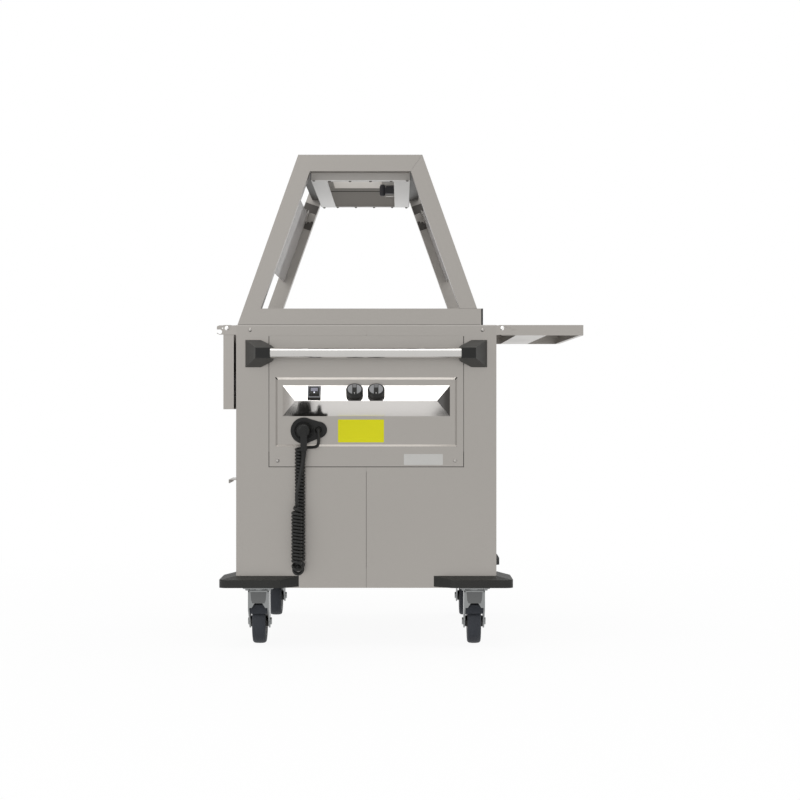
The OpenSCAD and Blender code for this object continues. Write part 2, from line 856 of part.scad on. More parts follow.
module pane(right) {
    zl = up(pane_low);
    color([0.68, 0.66, 0.65, 0.6]) at_home() on_leg(right)
        slab([pane_t, 2 * pane_end, up(pane_high) - zl], [pane_x, 0, zl]);
}

module pane_clamps(right) {
    zp = up(pivot_z);
    face = pane_t / 2;
    color(bright) at_home() for (s = [0, 1]) mirror([0, s, 0]) on_leg(right) translate([pane_x, 0, zp]) {
        for (side = [0, 1]) mirror([side, 0, 0]) difference() {
            slab([clamp_t, clamp_l, clamp_w], [face + clamp_t / 2, pane_end - clamp_l / 2, -clamp_w / 2]);
            for (i = [-1:1]) translate([face, pane_end - clamp_l / 2 + i * clamp_l / 3, 0])
                rotate([0, 90, 0]) cylinder(d = clamp_hole, h = 4 * clamp_t, center = true);
        }
        slab([2 * face + 2 * clamp_t, clamp_t, clamp_w], [0, pane_end + clamp_t / 2, -clamp_w / 2]);
        translate([0, pane_end, 0]) rotate([-90, 0, 0]) cylinder(d = pane_pin, h = leg_face - pane_end);
    }
}

module pane_left() { pane(0); }
module pane_right() { pane(1); }
module pane_clamps_left() { pane_clamps(0); }
module pane_clamps_right() { pane_clamps(1); }

// Doors
nose = door_t / 2;
door_gap = 2;
hinge_gap = 3;
door_pin = 8;
door_pin_l = 14;
door_axis_x = -half_w + nose;
door_axis_y = door_reach - hinge_gap - nose;
leaf_low = door_low + door_gap;
leaf_h = door_high - door_low - 2 * door_gap;
leaf_l = door_axis_y - door_post / 2 - door_gap;

module door_pins() {
    color(bright) at_home() for (s = [-1, 1], z = [door_low, door_high - door_pin_l])
        translate([door_axis_x, s * door_axis_y, z]) cylinder(d = door_pin, h = door_pin_l);
}

module door(s) {
    grip_t = 2;
    lip = 11;
    foot = 25;
    color(steel) at_home() mirror([0, s > 0 ? 1 : 0, 0]) translate([door_axis_x, -door_axis_y, 0]) {
        difference() {
            translate([0, 0, leaf_low]) linear_extrude(leaf_h) {
                circle(nose);
                translate([-nose, 0]) square([door_t, leaf_l]);
            }
            translate([sheet_t - nose, nose, leaf_low + sheet_t])
                cube([door_t, leaf_l - nose - sheet_t, leaf_h - 2 * sheet_t]);
            for (z = [leaf_low - over, leaf_low + leaf_h - door_pin_l])
                translate([0, 0, z]) cylinder(d = door_pin + 2 * play, h = door_pin_l + over);
        }
        translate([-nose, leaf_l / 2, grip_z]) along_y(grip_l) polygon([[0, 0], [-grip_out, 0],
            [-grip_out, -lip], [grip_t - grip_out, -lip], [grip_t - grip_out, -grip_t], [-grip_t, -grip_t],
            [-grip_t, -foot], [0, -foot]]);
    }
}

module door_front() { door(-1); }
module door_rear() { door(1); }

// Tray slides
arm_h = 26;
arm_z = body_top - 1;
bolt_d = 8;
bolt_head = 12;
bolt_dome = 3;
hook_r = 6.4;
hook_x = 45.7;
hook_drop = 10;
hole_x = 38;
hole_d = 4;
arm_flange = 30;
pivot_z0 = body_top - tray_above;
tray_l = body_l - 2 * arm_t - 2 * gap;
flange_w = 12;
stiff_in = 38;
stiff_out = 124;
tray_corner = 7;

module dome(d, h) {
    r = (d * d / 4 + h * h) / (2 * h);
    intersection() {
        cylinder(d = d, h = h);
        translate([0, 0, h - r]) sphere(r);
    }
}

module arm_outline() {
    difference() {
        polygon([[0, arm_z - arm_h], [arm_reach - hook_r, arm_z - arm_h], [arm_reach, arm_z - arm_h + hook_r / 2],
            [arm_reach, arm_z - hook_r / 2], [arm_reach - hook_r, arm_z], [0, arm_z]]);
        for (x = [pivot_in, pivot_in + pivot_travel]) translate([x, pivot_z0]) circle(d = bolt_d + 2 * play);
        translate([pivot_in, pivot_z0 - bolt_d / 2 - play]) square([pivot_travel, bolt_d + 2 * play]);
        translate([hook_x, pivot_z0 - hook_drop]) circle(hook_r);
        translate([hook_x, pivot_z0 - hook_drop - hook_r / 2]) square([arm_reach, hook_r * 1.5]);
        translate([hole_x, pivot_z0]) circle(d = hole_d);
    }
}

module tray_arms() {
    color(steel) at_home() both_sides() for (s = [0, 1]) mirror([0, s, 0]) translate([half_w, 0, 0]) {
        translate([0, -half_l + arm_t / 2, 0]) along_y(arm_t) arm_outline();
        translate([0, -half_l, arm_z - arm_h]) cube([arm_t, arm_flange, arm_h]);
    }
}

// A tray with its pivot at the origin, reaching along +X with its top up
module tray_form() {
    t = tray_t;
    x0 = -tray_back;
    x1 = tray_w - tray_back;
    top = tray_above;
    low = tray_above - tray_h;
    difference() {
        along_y(tray_l) polygon([[x0, top], [x1, top], [x1, low], [x0 + tray_corner, low], [x0, low + tray_corner]]);
        along_y(tray_l - 2 * t) difference() {
            polygon([[x0 - over, top - t], [x1 - t, top - t], [x1 - t, low - over], [x0 - over, low - over]]);
            translate([x1 - flange_w, low]) square([flange_w, t]);
            difference() {
                translate([stiff_in, low]) square([stiff_out - stiff_in, tray_h]);
                translate([stiff_in + t, low + t]) square([stiff_out - stiff_in - 2 * t, tray_h]);
            }
        }
        rotate([90, 0, 0]) cylinder(d = bolt_d + 2 * play, h = tray_l + over, center = true);
    }
}

module raised_at() { translate([half_w + pivot_in, 0, pivot_z0]) children(); }
module folded_at() { translate([-half_w - pivot_in - pivot_travel, 0, pivot_z0]) children(); }

module tray_right() { color(steel) at_home() raised_at() tray_form(); }
module tray_left() { color(steel) at_home() folded_at() rotate([0, -90, 0]) mirror([1, 0, 0]) tray_form(); }

module pivot_bolts() {
    for (s = [0, 1]) mirror([0, s, 0]) {
        translate([0, -half_l, 0]) rotate([90, 0, 0]) dome(bolt_head, bolt_dome);
        translate([0, -half_l, 0]) rotate([-90, 0, 0]) cylinder(d = bolt_d, h = arm_t + 4 * bolt_dome);
        translate([0, -tray_l / 2 + tray_t + gap, 0]) rotate([-90, 0, 0])
            cylinder(d = bolt_head, h = 2 * bolt_dome, $fn = 6);
    }
}

module pivot_bolts_right() { color(bright) at_home() raised_at() pivot_bolts(); }
module pivot_bolts_left() { color(bright) at_home() folded_at() pivot_bolts(); }

// Small parts on the cabinet
screw_d = 11;
screw_x = 325;
screw_inset = 14;
screw_z = body_top - screw_inset;
lock_inset = 25;
lock_rise = 18;
lock_x = service_w / 2 - lock_inset;
lock_z = service_low + lock_rise;
button_d = 21;
button_out = 8;
button_inset = 60;
button_y = -half_l + button_inset;
button_z = 246;

module fixing_screws() {
    color(bright) at_home() {
        for (s = [0, 1], x = [-screw_x, screw_x]) mirror([0, s, 0]) translate([x, -half_l, screw_z])
            rotate([90, 0, 0]) dome(screw_d, bolt_dome);
        for (x = [-lock_x, lock_x]) translate([x, -half_l, lock_z]) rotate([90, 0, 0]) dome(screw_d, bolt_dome);
    }
}

module side_button() {
    color(black) at_home() translate([half_w, button_y, button_z]) rotate([0, 90, 0]) dome(button_d, button_out);
}

knob_skirt = 5;
grip_bar = 12;
knob_step = 3;
shaft_l = 12;
body_side = 28;

module knob(x) {
    color(black) at_home() on_face(x) translate([0, 0, gap]) {
        cylinder(d = knob_d, h = knob_skirt);
        cylinder(d = knob_d - 2 * knob_step, h = knob_h - 2 * knob_step);
        intersection() {
            cylinder(d = knob_d - knob_step, h = knob_h);
            slab([grip_bar, knob_d, knob_h]);
        }
        translate([0, 0, -shaft_l]) cylinder(d = shaft_d, h = shaft_l + gap);
    }
}

module knob_left() { knob(knob_left_x); }
module knob_right() { knob(knob_right_x); }

module thermostats() {
    color("gainsboro") at_home() for (x = [knob_left_x, knob_right_x]) on_face(x) difference() {
        slab([body_side, body_side, shaft_l], [0, 0, -shaft_l - 2 * sheet_t]);
        translate([0, 0, -2 * shaft_l]) cylinder(d = shaft_d + 2 * play, h = 2 * shaft_l);
    }
}

// Parking socket and plug
socket_x = -174.3;
socket_z = 605.2;
socket_r = 36.5;
lobe_x = -132.4;
lobe_z = 607;
lobe_r = 23;
lobe_waist = 0.6;
socket_t = 8;
gland_d = 15;
gland_h = 6;
plug_d = 44;
plug_front_d = 28;
plug_h = 36;
neck_x = -172.6;
neck_w = 19;
neck_t = 12;
neck_low = 548;
neck_chamfer = 3;
socket_y = field_y - socket_t;

// Outline of two discs joined by straight sides that run just inside their outer tangents
module lobe_outline() {
    dx = lobe_x - socket_x;
    dz = lobe_z - socket_z;
    d = sqrt(dx * dx + dz * dz);
    s = (socket_r - lobe_r) / d;
    c = sqrt(1 - s * s);
    big = socket_r - lobe_waist;
    small = lobe_r - lobe_waist;
    rotate(atan2(dz, dx)) {
        circle(socket_r);
        translate([d, 0]) circle(lobe_r);
        polygon([[big * s, big * c], [d + small * s, small * c], [d + small * s, -small * c],
            [big * s, -big * c]]);
    }
}

module parking_socket() {
    color(black) at_home() {
        translate([socket_x, field_y - socket_t / 2, socket_z]) along_y(socket_t) lobe_outline();
        translate([lobe_x, socket_y, lobe_z]) rotate([90, 0, 0]) cylinder(d = gland_d, h = gland_h);
    }
}

module plug() {
    neck_y = socket_y - plug_h + neck_t / 2;
    color(black) at_home() {
        translate([socket_x, socket_y, socket_z]) rotate([90, 0, 0])
            cylinder(d1 = plug_d, d2 = plug_front_d, h = plug_h);
        translate([neck_x, neck_y, 0]) along_y(neck_t) polygon([[-neck_w / 2, socket_z],
            [-neck_w / 2, neck_low + neck_chamfer], [neck_chamfer - neck_w / 2, neck_low],
            [neck_w / 2 - neck_chamfer, neck_low], [neck_w / 2, neck_low + neck_chamfer], [neck_w / 2, socket_z]]);
    }
}

// Supply cord: a lead from the socket, a curly stretch hung in a loop, and a tail to the plug
curls_down = 33;
curls_bend = 5;
curls_up = 16;
curl_rings = 8;
ramp_curls = 1.5;
curl_sides = 6;
cord_sides = 8;
loop_x = -184;
loop_lean = -6.7;
loop_y = -447;
loop_z = 245;
curls = curls_down + curls_bend + curls_up;
curl_top = loop_z + curls_down * curl_pitch;

function ease(t) = t * t * (3 - 2 * t);
function clip(t) = min(max(t, 0), 1);
function bend_angle(t) = 180 * clip((t - curls_down) / curls_bend);
// Middle of the coil after t curls, and the direction that points out of its loop
function coil_middle(t) = let (a = bend_angle(t))
    [loop_x + loop_lean * ease(a / 180), loop_y - curl_bend + curl_bend * cos(a),
        loop_z - curl_bend * sin(a) + curl_pitch * (max(curls_down - t, 0)
            + max(t - curls_down - curls_bend, 0))];
function coil_out(t) = let (a = bend_angle(t)) [0, cos(a), -sin(a)];
function coil_radius(t) = curl_r * ease(clip((curls - t) / ramp_curls));
function curl_point(t) = coil_middle(t)
    + coil_radius(t) * (cos(360 * t) * coil_out(t) + sin(360 * t) * [-1, 0, 0]);
coil_start = curl_point(0);
coil_end = curl_point(curls);
coil_dir = [2 * PI * curl_r, 0, curl_pitch] / norm([2 * PI * curl_r, 0, curl_pitch]);
curl_points = concat([coil_start + cord_d * coil_dir, coil_start + cord_d / 2 * coil_dir],
    [for (i = [0:curls * curl_rings]) curl_point(i / curl_rings)],
    [coil_end + [0, 0, cord_d / 2], coil_end + [0, 0, cord_d]]);

// Hand-picked points of the free stretches
lead_marks = concat([[-132.4, -445, 607], [-132.4, -450, 607], [-132.4, -455, 605], [-132.4, -458, 600],
    [-132, -459, 592], [-132, -457, 583], [-132, -453, 574], [-134, -448, 566], [-139, -443, 561],
    [-147, -439, 559], [-157, -437, 558.5]], [coil_start + 2 * cord_d * coil_dir, coil_start + cord_d * coil_dir]);
tail_marks = concat([coil_end + [0, 0, cord_d], coil_end + [0, 0, 2 * cord_d]],
    [[-189, -497, 430], [-186, -492, 455], [-182, -484, 480], [-177, -475, 505], [-174, -470, 525],
    [-172.6, -469, 540], [-172.6, -469, 548]]);

function unit(v) = v / norm(v);
function smooth_point(a, b, c, d, t) = 0.5 * (2 * b + (c - a) * t + (2 * a - 5 * b + 4 * c - d) * t * t
    + (3 * b - a - 3 * c + d) * t * t * t);
function smooth(p, steps) = let (n = len(p) - 1) concat([for (i = [0:n - 1], j = [0:steps - 1])
    smooth_point(p[max(i - 1, 0)], p[i], p[i + 1], p[min(i + 2, n)], j / steps)], [p[n]]);
function heading(p, i) = unit(p[min(i + 1, len(p) - 1)] - p[max(i - 1, 0)]);
function across(n, t) = unit(n - (n * t) * t);
function normals(p, first) = [for (i = 0, n = across(first, heading(p, 0)); i < len(p);
    i = i + 1, n = across(n, heading(p, min(i, len(p) - 1)))) n];
function total(p) = arc(p)[len(p) - 1];

module cord_tube(p, sides, first) {
    n = normals(p, first);
    last = len(p) - 1;
    rings = [for (i = [0:last]) let (t = heading(p, i), b = cross(t, n[i])) for (k = [0:sides - 1])
        p[i] + cord_d / 2 * (cos(360 * k / sides) * n[i] + sin(360 * k / sides) * b)];
    skin = [for (i = [0:last - 1], k = [0:sides - 1]) let (a = i * sides + k, b = i * sides + (k + 1) % sides)
        each [[a, a + sides, b], [b, a + sides, b + sides]]];
    caps = [for (k = [1:sides - 2]) each [[0, k, k + 1],
        [last * sides, last * sides + k + 1, last * sides + k]]];
    polyhedron(rings, concat(skin, caps));
}

// Least distance between stretches that lie more than three diameters apart along the cord
function arc(p) = [for (i = 0, s = 0; i < len(p); i = i + 1, s = s + (i < len(p) ? norm(p[i] - p[i - 1]) : 0)) s];
function least_gap(p) = let (s = arc(p)) min([for (i = [0:len(p) - 1])
    for (j = [i + 1:1:min(i + 3 * curl_rings, len(p) - 1)])
        if (s[j] - s[i] > 3 * cord_d) norm(p[i] - p[j])]) - cord_d;

module cord_lead() { color(black) at_home() cord_tube(smooth(lead_marks, 3), cord_sides, [0, 0, 1]); }
module cord_curls() { color(black) at_home() cord_tube(curl_points, curl_sides, [0, 1, 0]); }
module cord_tail() { color(black) at_home() cord_tube(smooth(tail_marks, 3), cord_sides, [0, 1, 0]); }

echo(least_curl_gap = least_gap(curl_points), leg_gap = 2 * curl_bend - 2 * curl_r - cord_d);
echo(lead_length = total(smooth(lead_marks, 3)), curls_length = total(curl_points),
    tail_length = total(smooth(tail_marks, 3)));

deck();
wells();
heating_plates();
shell_left();
shell_right();
chassis_tray();
service_panel();
control_console();
inner_ceiling();
handle_tube();
handle_brackets();
corner_bumpers();
caster_plates();
frame_front();
frame_rear();
frame_right_legs();
frame_end_caps();
lamp_housing();
lamp_cover();
lamp_panel();
lamp_switch_bezel();
bearing_plates();
notch_plates();
door_pins();
tray_arms();
side_button();
switch_bezel();
thermostats();
parking_socket();
fixing_screws();
switch_rocker();
knob_left();
knob_right();
lamp_rocker();
pane_left();
pane_right();
pane_clamps_left();
pane_clamps_right();
door_front();
door_rear();
tray_left();
tray_right();
pivot_bolts_left();
pivot_bolts_right();
fork_front_left();
fork_front_right();
fork_rear_left();
fork_rear_right();
wheel_front_left();
wheel_front_right();
wheel_rear_left();
wheel_rear_right();
brake_pedal_left();
brake_pedal_right();
plug();
cord_lead();
cord_curls();
cord_tail();
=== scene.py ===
import math

import bmesh
import bpy
from mathutils import Matrix, Vector


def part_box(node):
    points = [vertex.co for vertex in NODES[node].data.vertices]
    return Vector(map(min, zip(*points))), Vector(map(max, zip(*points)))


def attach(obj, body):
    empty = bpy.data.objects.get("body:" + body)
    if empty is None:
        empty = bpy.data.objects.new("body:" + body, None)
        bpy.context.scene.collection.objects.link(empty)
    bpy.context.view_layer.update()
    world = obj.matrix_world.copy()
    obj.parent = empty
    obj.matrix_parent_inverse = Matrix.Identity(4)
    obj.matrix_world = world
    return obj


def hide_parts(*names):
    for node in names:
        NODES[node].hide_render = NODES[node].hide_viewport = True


bl_info = {
    "name": "Buffet trolley",
    "version": (1, 0, 0),
    "blender": (4, 5, 0),
    "location": "View3D > Sidebar > Trolley",
    "description": "Dresses the packed frame of a heated buffet trolley",
    "category": "Object",
}

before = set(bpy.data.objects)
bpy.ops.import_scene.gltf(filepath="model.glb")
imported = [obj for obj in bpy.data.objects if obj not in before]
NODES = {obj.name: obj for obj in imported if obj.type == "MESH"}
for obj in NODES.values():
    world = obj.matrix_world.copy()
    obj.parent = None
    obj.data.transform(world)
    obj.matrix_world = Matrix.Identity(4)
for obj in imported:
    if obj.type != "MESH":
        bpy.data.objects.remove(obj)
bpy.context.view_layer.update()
MM = 0.001


def middle(node):
    """Middle of a node's box, in metres."""
    low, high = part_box(node)
    return (low + high) / 2


# The cabinet's middle on the floor; every drawing below is in millimetres from here
HOME = Vector((middle("deck").x, middle("deck").y, 0))
TO_FRAME = Matrix.Translation(HOME) @ Matrix.Scale(MM, 4)
TO_DRAWING = TO_FRAME.inverted()


def drawn_box(node):
    """Lowest and highest corners of a node, in the drawing's millimetres."""
    low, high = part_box(node)
    return TO_DRAWING @ low, TO_DRAWING @ high


class Port:
    """A shader socket that is used in Python expressions."""

    def __init__(self, owner, socket):
        self.owner = owner
        self.socket = socket

    def math(self, operation, first, second):
        """Adds a Math node on two numbers or sockets."""
        return self.owner.node("ShaderNodeMath", {"operation": operation}, {0: first, 1: second})

    def __add__(self, other):
        return self.math("ADD", self, other)

    def __radd__(self, other):
        return self.math("ADD", other, self)

    def __sub__(self, other):
        return self.math("SUBTRACT", self, other)

    def __rsub__(self, other):
        return self.math("SUBTRACT", other, self)

    def __mul__(self, other):
        return self.math("MULTIPLY", self, other)

    def __rmul__(self, other):
        return self.math("MULTIPLY", other, self)

    def __truediv__(self, other):
        return self.math("DIVIDE", self, other)

    def __rtruediv__(self, other):
        return self.math("DIVIDE", other, self)

    def clipped(self):
        """The value kept between 0 and 1."""
        return self.math("MINIMUM", self.math("MAXIMUM", self, 0.0), 1.0)


class Finish:
    """A material whose nodes are written as expressions."""

    def __init__(self, name, fixed=None, owner=None):
        self.material = owner or bpy.data.materials.new(name)
        self.material.use_nodes = True
        self.tree = self.material.node_tree
        self.tree.nodes.clear()
        kind = "World" if isinstance(owner, bpy.types.World) else "Material"
        self.output = self.tree.nodes.new("ShaderNodeOutput" + kind)
        self.fixed = dict(fixed or {})

    def node(self, kind, settings=None, sockets=None, output=0):
        """Adds a node: its settings first, then the values or links of its sockets."""
        node = self.tree.nodes.new(kind)
        for key, value in (settings or {}).items():
            setattr(node, key, value)
        for key, value in (sockets or {}).items():
            if isinstance(value, Port):
                self.tree.links.new(value.socket, node.inputs[key])
            else:
                node.inputs[key].default_value = value
        return Port(self, node.outputs[output])

    def place(self):
        """Where a point of the resting surface is, in metres."""
        return self.node("ShaderNodeTexCoord", output="Object")

    def turned_to(self, axis, start, end):
        """0 to 1 as the resting surface turns from start to end towards an axis (0 to 2)."""
        facing_way = self.parts(self.node("ShaderNodeTexCoord", output="Normal"))[axis]
        return ((facing_way - start) / (end - start)).clipped()

    def scaled(self, vector, scale):
        """A place stretched along its three axes."""
        return self.node("ShaderNodeMapping", None, {"Vector": vector, "Scale": scale})

    def parts(self, vector):
        """The three numbers of a vector."""
        split = self.node("ShaderNodeSeparateXYZ", None, {0: vector})
        return [Port(self, split.socket.node.outputs[i]) for i in range(3)]

    def noise(self, scale, detail=2.0, roughness=0.5, stretch=(1, 1, 1)):
        """Soft noise from 0 to 1, with scale in features per metre."""
        vector = self.scaled(self.place(), stretch)
        sockets = {"Vector": vector, "Scale": scale, "Detail": detail, "Roughness": roughness}
        return self.node("ShaderNodeTexNoise", {"noise_dimensions": "3D"}, sockets)

    def mix(self, factor, first, second):
        """Mixes two colours."""
        sockets = {0: factor, 6: first, 7: second}
        return self.node("ShaderNodeMix", {"data_type": "RGBA"}, sockets, output=2)

    def bump(self, height, strength, distance):
        """The normal of a surface raised by height, over a distance in metres."""
        sockets = {"Height": height, "Strength": strength, "Distance": distance}
        return self.node("ShaderNodeBump", None, sockets)

    def seen_rays(self):
        """1 for what the camera sees directly, in gloss or through glass."""
        paths = [self.node("ShaderNodeLightPath", output=f"Is {ray} Ray")
                 for ray in ("Camera", "Glossy", "Transmission")]
        return (paths[0] + paths[1] + paths[2]).clipped()

    def end(self, shader):
        """Joins a shader to the output and gives the material."""
        self.tree.links.new(shader.socket, self.output.inputs["Surface"])
        return self.material

    def surface(self, **varying):
        """Ends the material in a Principled shader; names use _ for a space."""
        sockets = {key.replace("_", " "): value for key, value in {**self.fixed, **varying}.items()}
        return self.end(self.node("ShaderNodeBsdfPrincipled", None, sockets))


def tone(colour, gain=1.0):
    """A colour as RGBA, made lighter or darker."""
    return tuple(min(1.0, c * gain) for c in colour[:3]) + (1.0,)


def sheet_steel(name, colour, roughness, grain, tarnish=0.04, fold=0.0):
    """Brushed sheet steel; grain is the stretch of its lines, short along the brushing.

    Folds that turn down from the front are brightened by the fold factor, a painted highlight.
    """
    f = Finish(name, {"Metallic": 1.0, "Anisotropic": 0.25})
    lines = f.noise(60.0, 4.0, 0.7, grain)
    cloud = f.noise(3.0, 2.0)
    wear = lines * 0.6 + cloud * 0.4
    base = f.mix(wear.clipped(), tone(colour, 1 - tarnish), tone(colour, 1 + tarnish))
    if fold:
        # Painted highlight: faces turned down and to the front are brightened
        fold_highlight_mask = f.turned_to(2, -0.15, -0.55) * f.turned_to(1, -0.1, -0.5)
        base = f.mix(fold_highlight_mask, base, tone(colour, fold))
    rough = roughness - 0.05 + lines * 0.06 + cloud * 0.04
    return f.surface(Base_Color=base, Roughness=rough, Normal=f.bump(lines, 0.08, 0.0002))


def polished_steel(name, colour, roughness, right=1.0):
    """Polished steel with a faint haze; faces turned to the right are darkened by right as painted shade."""
    f = Finish(name, {"Metallic": 1.0})
    haze = f.noise(25.0, 3.0, 0.6)
    fine = f.noise(900.0, 2.0, 0.5, (0.2, 1, 1))
    base = f.mix(haze, tone(colour, 0.97), tone(colour, 1.02))
    # Painted shade: faces turned to the right are darkened
    if right < 1:
        base = f.mix(f.turned_to(0, 0.3, 0.6), base, tone(colour, right))
    rough = roughness + haze * 0.04 + fine * 0.02
    return f.surface(Base_Color=base, Roughness=rough, Normal=f.bump(fine, 0.02, 0.0001))


def plastic(name, colour, roughness, pit=0.25, spread=0.12):
    """Moulded plastic or rubber with a fine spark-eroded skin."""
    f = Finish(name, {"Specular IOR Level": 0.3})
    skin = f.noise(1400.0, 3.0, 0.6)
    rub = f.noise(28.0, 3.0, 0.6)
    base = f.mix(rub, tone(colour, 1 - spread), tone(colour, 1 + spread))
    rough = roughness - 0.05 + rub * 0.08 + skin * 0.04
    return f.surface(Base_Color=base, Roughness=rough, Normal=f.bump(skin, pit, 0.0002))


def enamel(name, colour, roughness, glow=0.0):
    """A smooth painted or printed plate with slight orange peel, and a glow of its own colour that paints
    light onto it.
    """
    f = Finish(name, {"Specular IOR Level": 0.3, "Emission Strength": glow})
    peel = f.noise(450.0, 2.0)
    cloud = f.noise(40.0, 2.0)
    base = f.mix(cloud, tone(colour, 0.97), tone(colour, 1.02))
    rough = roughness + cloud * 0.06
    lit = {"Emission_Color": base} if glow else {}
    return f.surface(Base_Color=base, Roughness=rough, Normal=f.bump(peel, 0.05, 0.0001), **lit)


def window_glass(name, colour, sheen, roughness):
    """Tinted toughened glass that turns to its grey sheen where it is seen along its face."""
    f = Finish(name)
    film = f.noise(14.0, 3.0, 0.6)
    clear = f.node("ShaderNodeBsdfPrincipled", None, {
        "Base Color": f.mix(film, tone(colour, 0.98), tone(colour, 1.02)), "IOR": 1.46,
        "Transmission Weight": 1.0, "Roughness": roughness + film * 0.02})
    grey = f.node("ShaderNodeBsdfPrincipled", None, {
        "Base Color": f.mix(film, tone(sheen, 0.98), tone(sheen, 1.02)), "Specular IOR Level": 0.2,
        "Roughness": 0.5 + film * 0.05})
    along = f.node("ShaderNodeLayerWeight", None, {"Blend": 0.25}, output="Facing")
    return f.end(f.node("ShaderNodeMixShader", None, {0: along, 1: clear, 2: grey}))


def glowing(name, colour, strength):
    """A small lit lens."""
    f = Finish(name, {"Emission Strength": strength})
    cells = f.noise(900.0, 2.0)
    lit = f.mix(cells, tone(colour, 0.9), tone(colour, 1.0))
    return f.surface(Base_Color=lit, Emission_Color=lit, Roughness=0.2 + cells * 0.1)


def colour_of(text):
    """Linear colour of a six-digit screen colour."""
    return tuple(((int(text[i:i + 2], 16) / 255 + 0.055) / 1.055) ** 2.4 for i in (0, 2, 4))


def colour_setting(name, description, text):
    """A colour that a user may change, from a six-digit screen colour."""
    return bpy.props.FloatVectorProperty(
        name=name, description=description, subtype="COLOR", size=3, min=0, max=1, default=colour_of(text))


def length_setting(name, description, millimetres):
    """A length that a user may change."""
    return bpy.props.FloatProperty(
        name=name, description=description, subtype="DISTANCE", unit="LENGTH", min=0,
        default=millimetres * MM, precision=4)


class TrolleyColours(bpy.types.PropertyGroup):
    """Colours of the trolley's finishes."""

    steel: colour_setting("Cabinet steel", "Brushed sheet of the cabinet and the bridge", "a6a29d")
    bright: colour_setting("Polished steel", "Console, handle tube and fittings", "f4f3f1")
    pale: colour_setting("Lamp cover steel", "Pale flanges round the lamp opening", "c9c8c6")
    plastic: colour_setting("Black plastic", "Knobs, brackets, plug and socket", "181817")
    bumper: colour_setting("Bumper rubber", "Corner bumpers", "272725")
    tyre: colour_setting("Tyre rubber", "Wheels' treads", "373a40")
    rim: colour_setting("Wheel rim", "Wheels' discs", "9b9c9c")
    zinc: colour_setting("Zinc plate", "Forks and swivel heads", "8f9191")
    glass: colour_setting("Tinted glass", "Sneeze guards", "c3c0be")
    plate: colour_setting("Yellow plate", "Bare plate under the console", "dedb0a")
    cord: colour_setting("Cord jacket", "Supply cord", "1f1f1e")


class TrolleySizes(bpy.types.PropertyGroup):
    """Sizes of the trolley's small details."""

    cord: length_setting("Cord", "Diameter of the supply cord", 8.5)
    folded_edge: length_setting("Folded edge", "Radius along the deck's fold and the square tubes", 2.4)
    moulded_edge: length_setting("Moulded edge", "Radius along brackets, end caps and pedals", 1.0)
    sheet_edge: length_setting("Sheet edge", "Radius along doors, forks and trimmed sheet", 0.8)
    plate: length_setting("Plate", "Thickness of the bare plates on the service panel", 0.5)


def detail(name):
    """A length setting, in the drawing's millimetres."""
    return getattr(bpy.context.scene.trolley_sizes, name) / MM


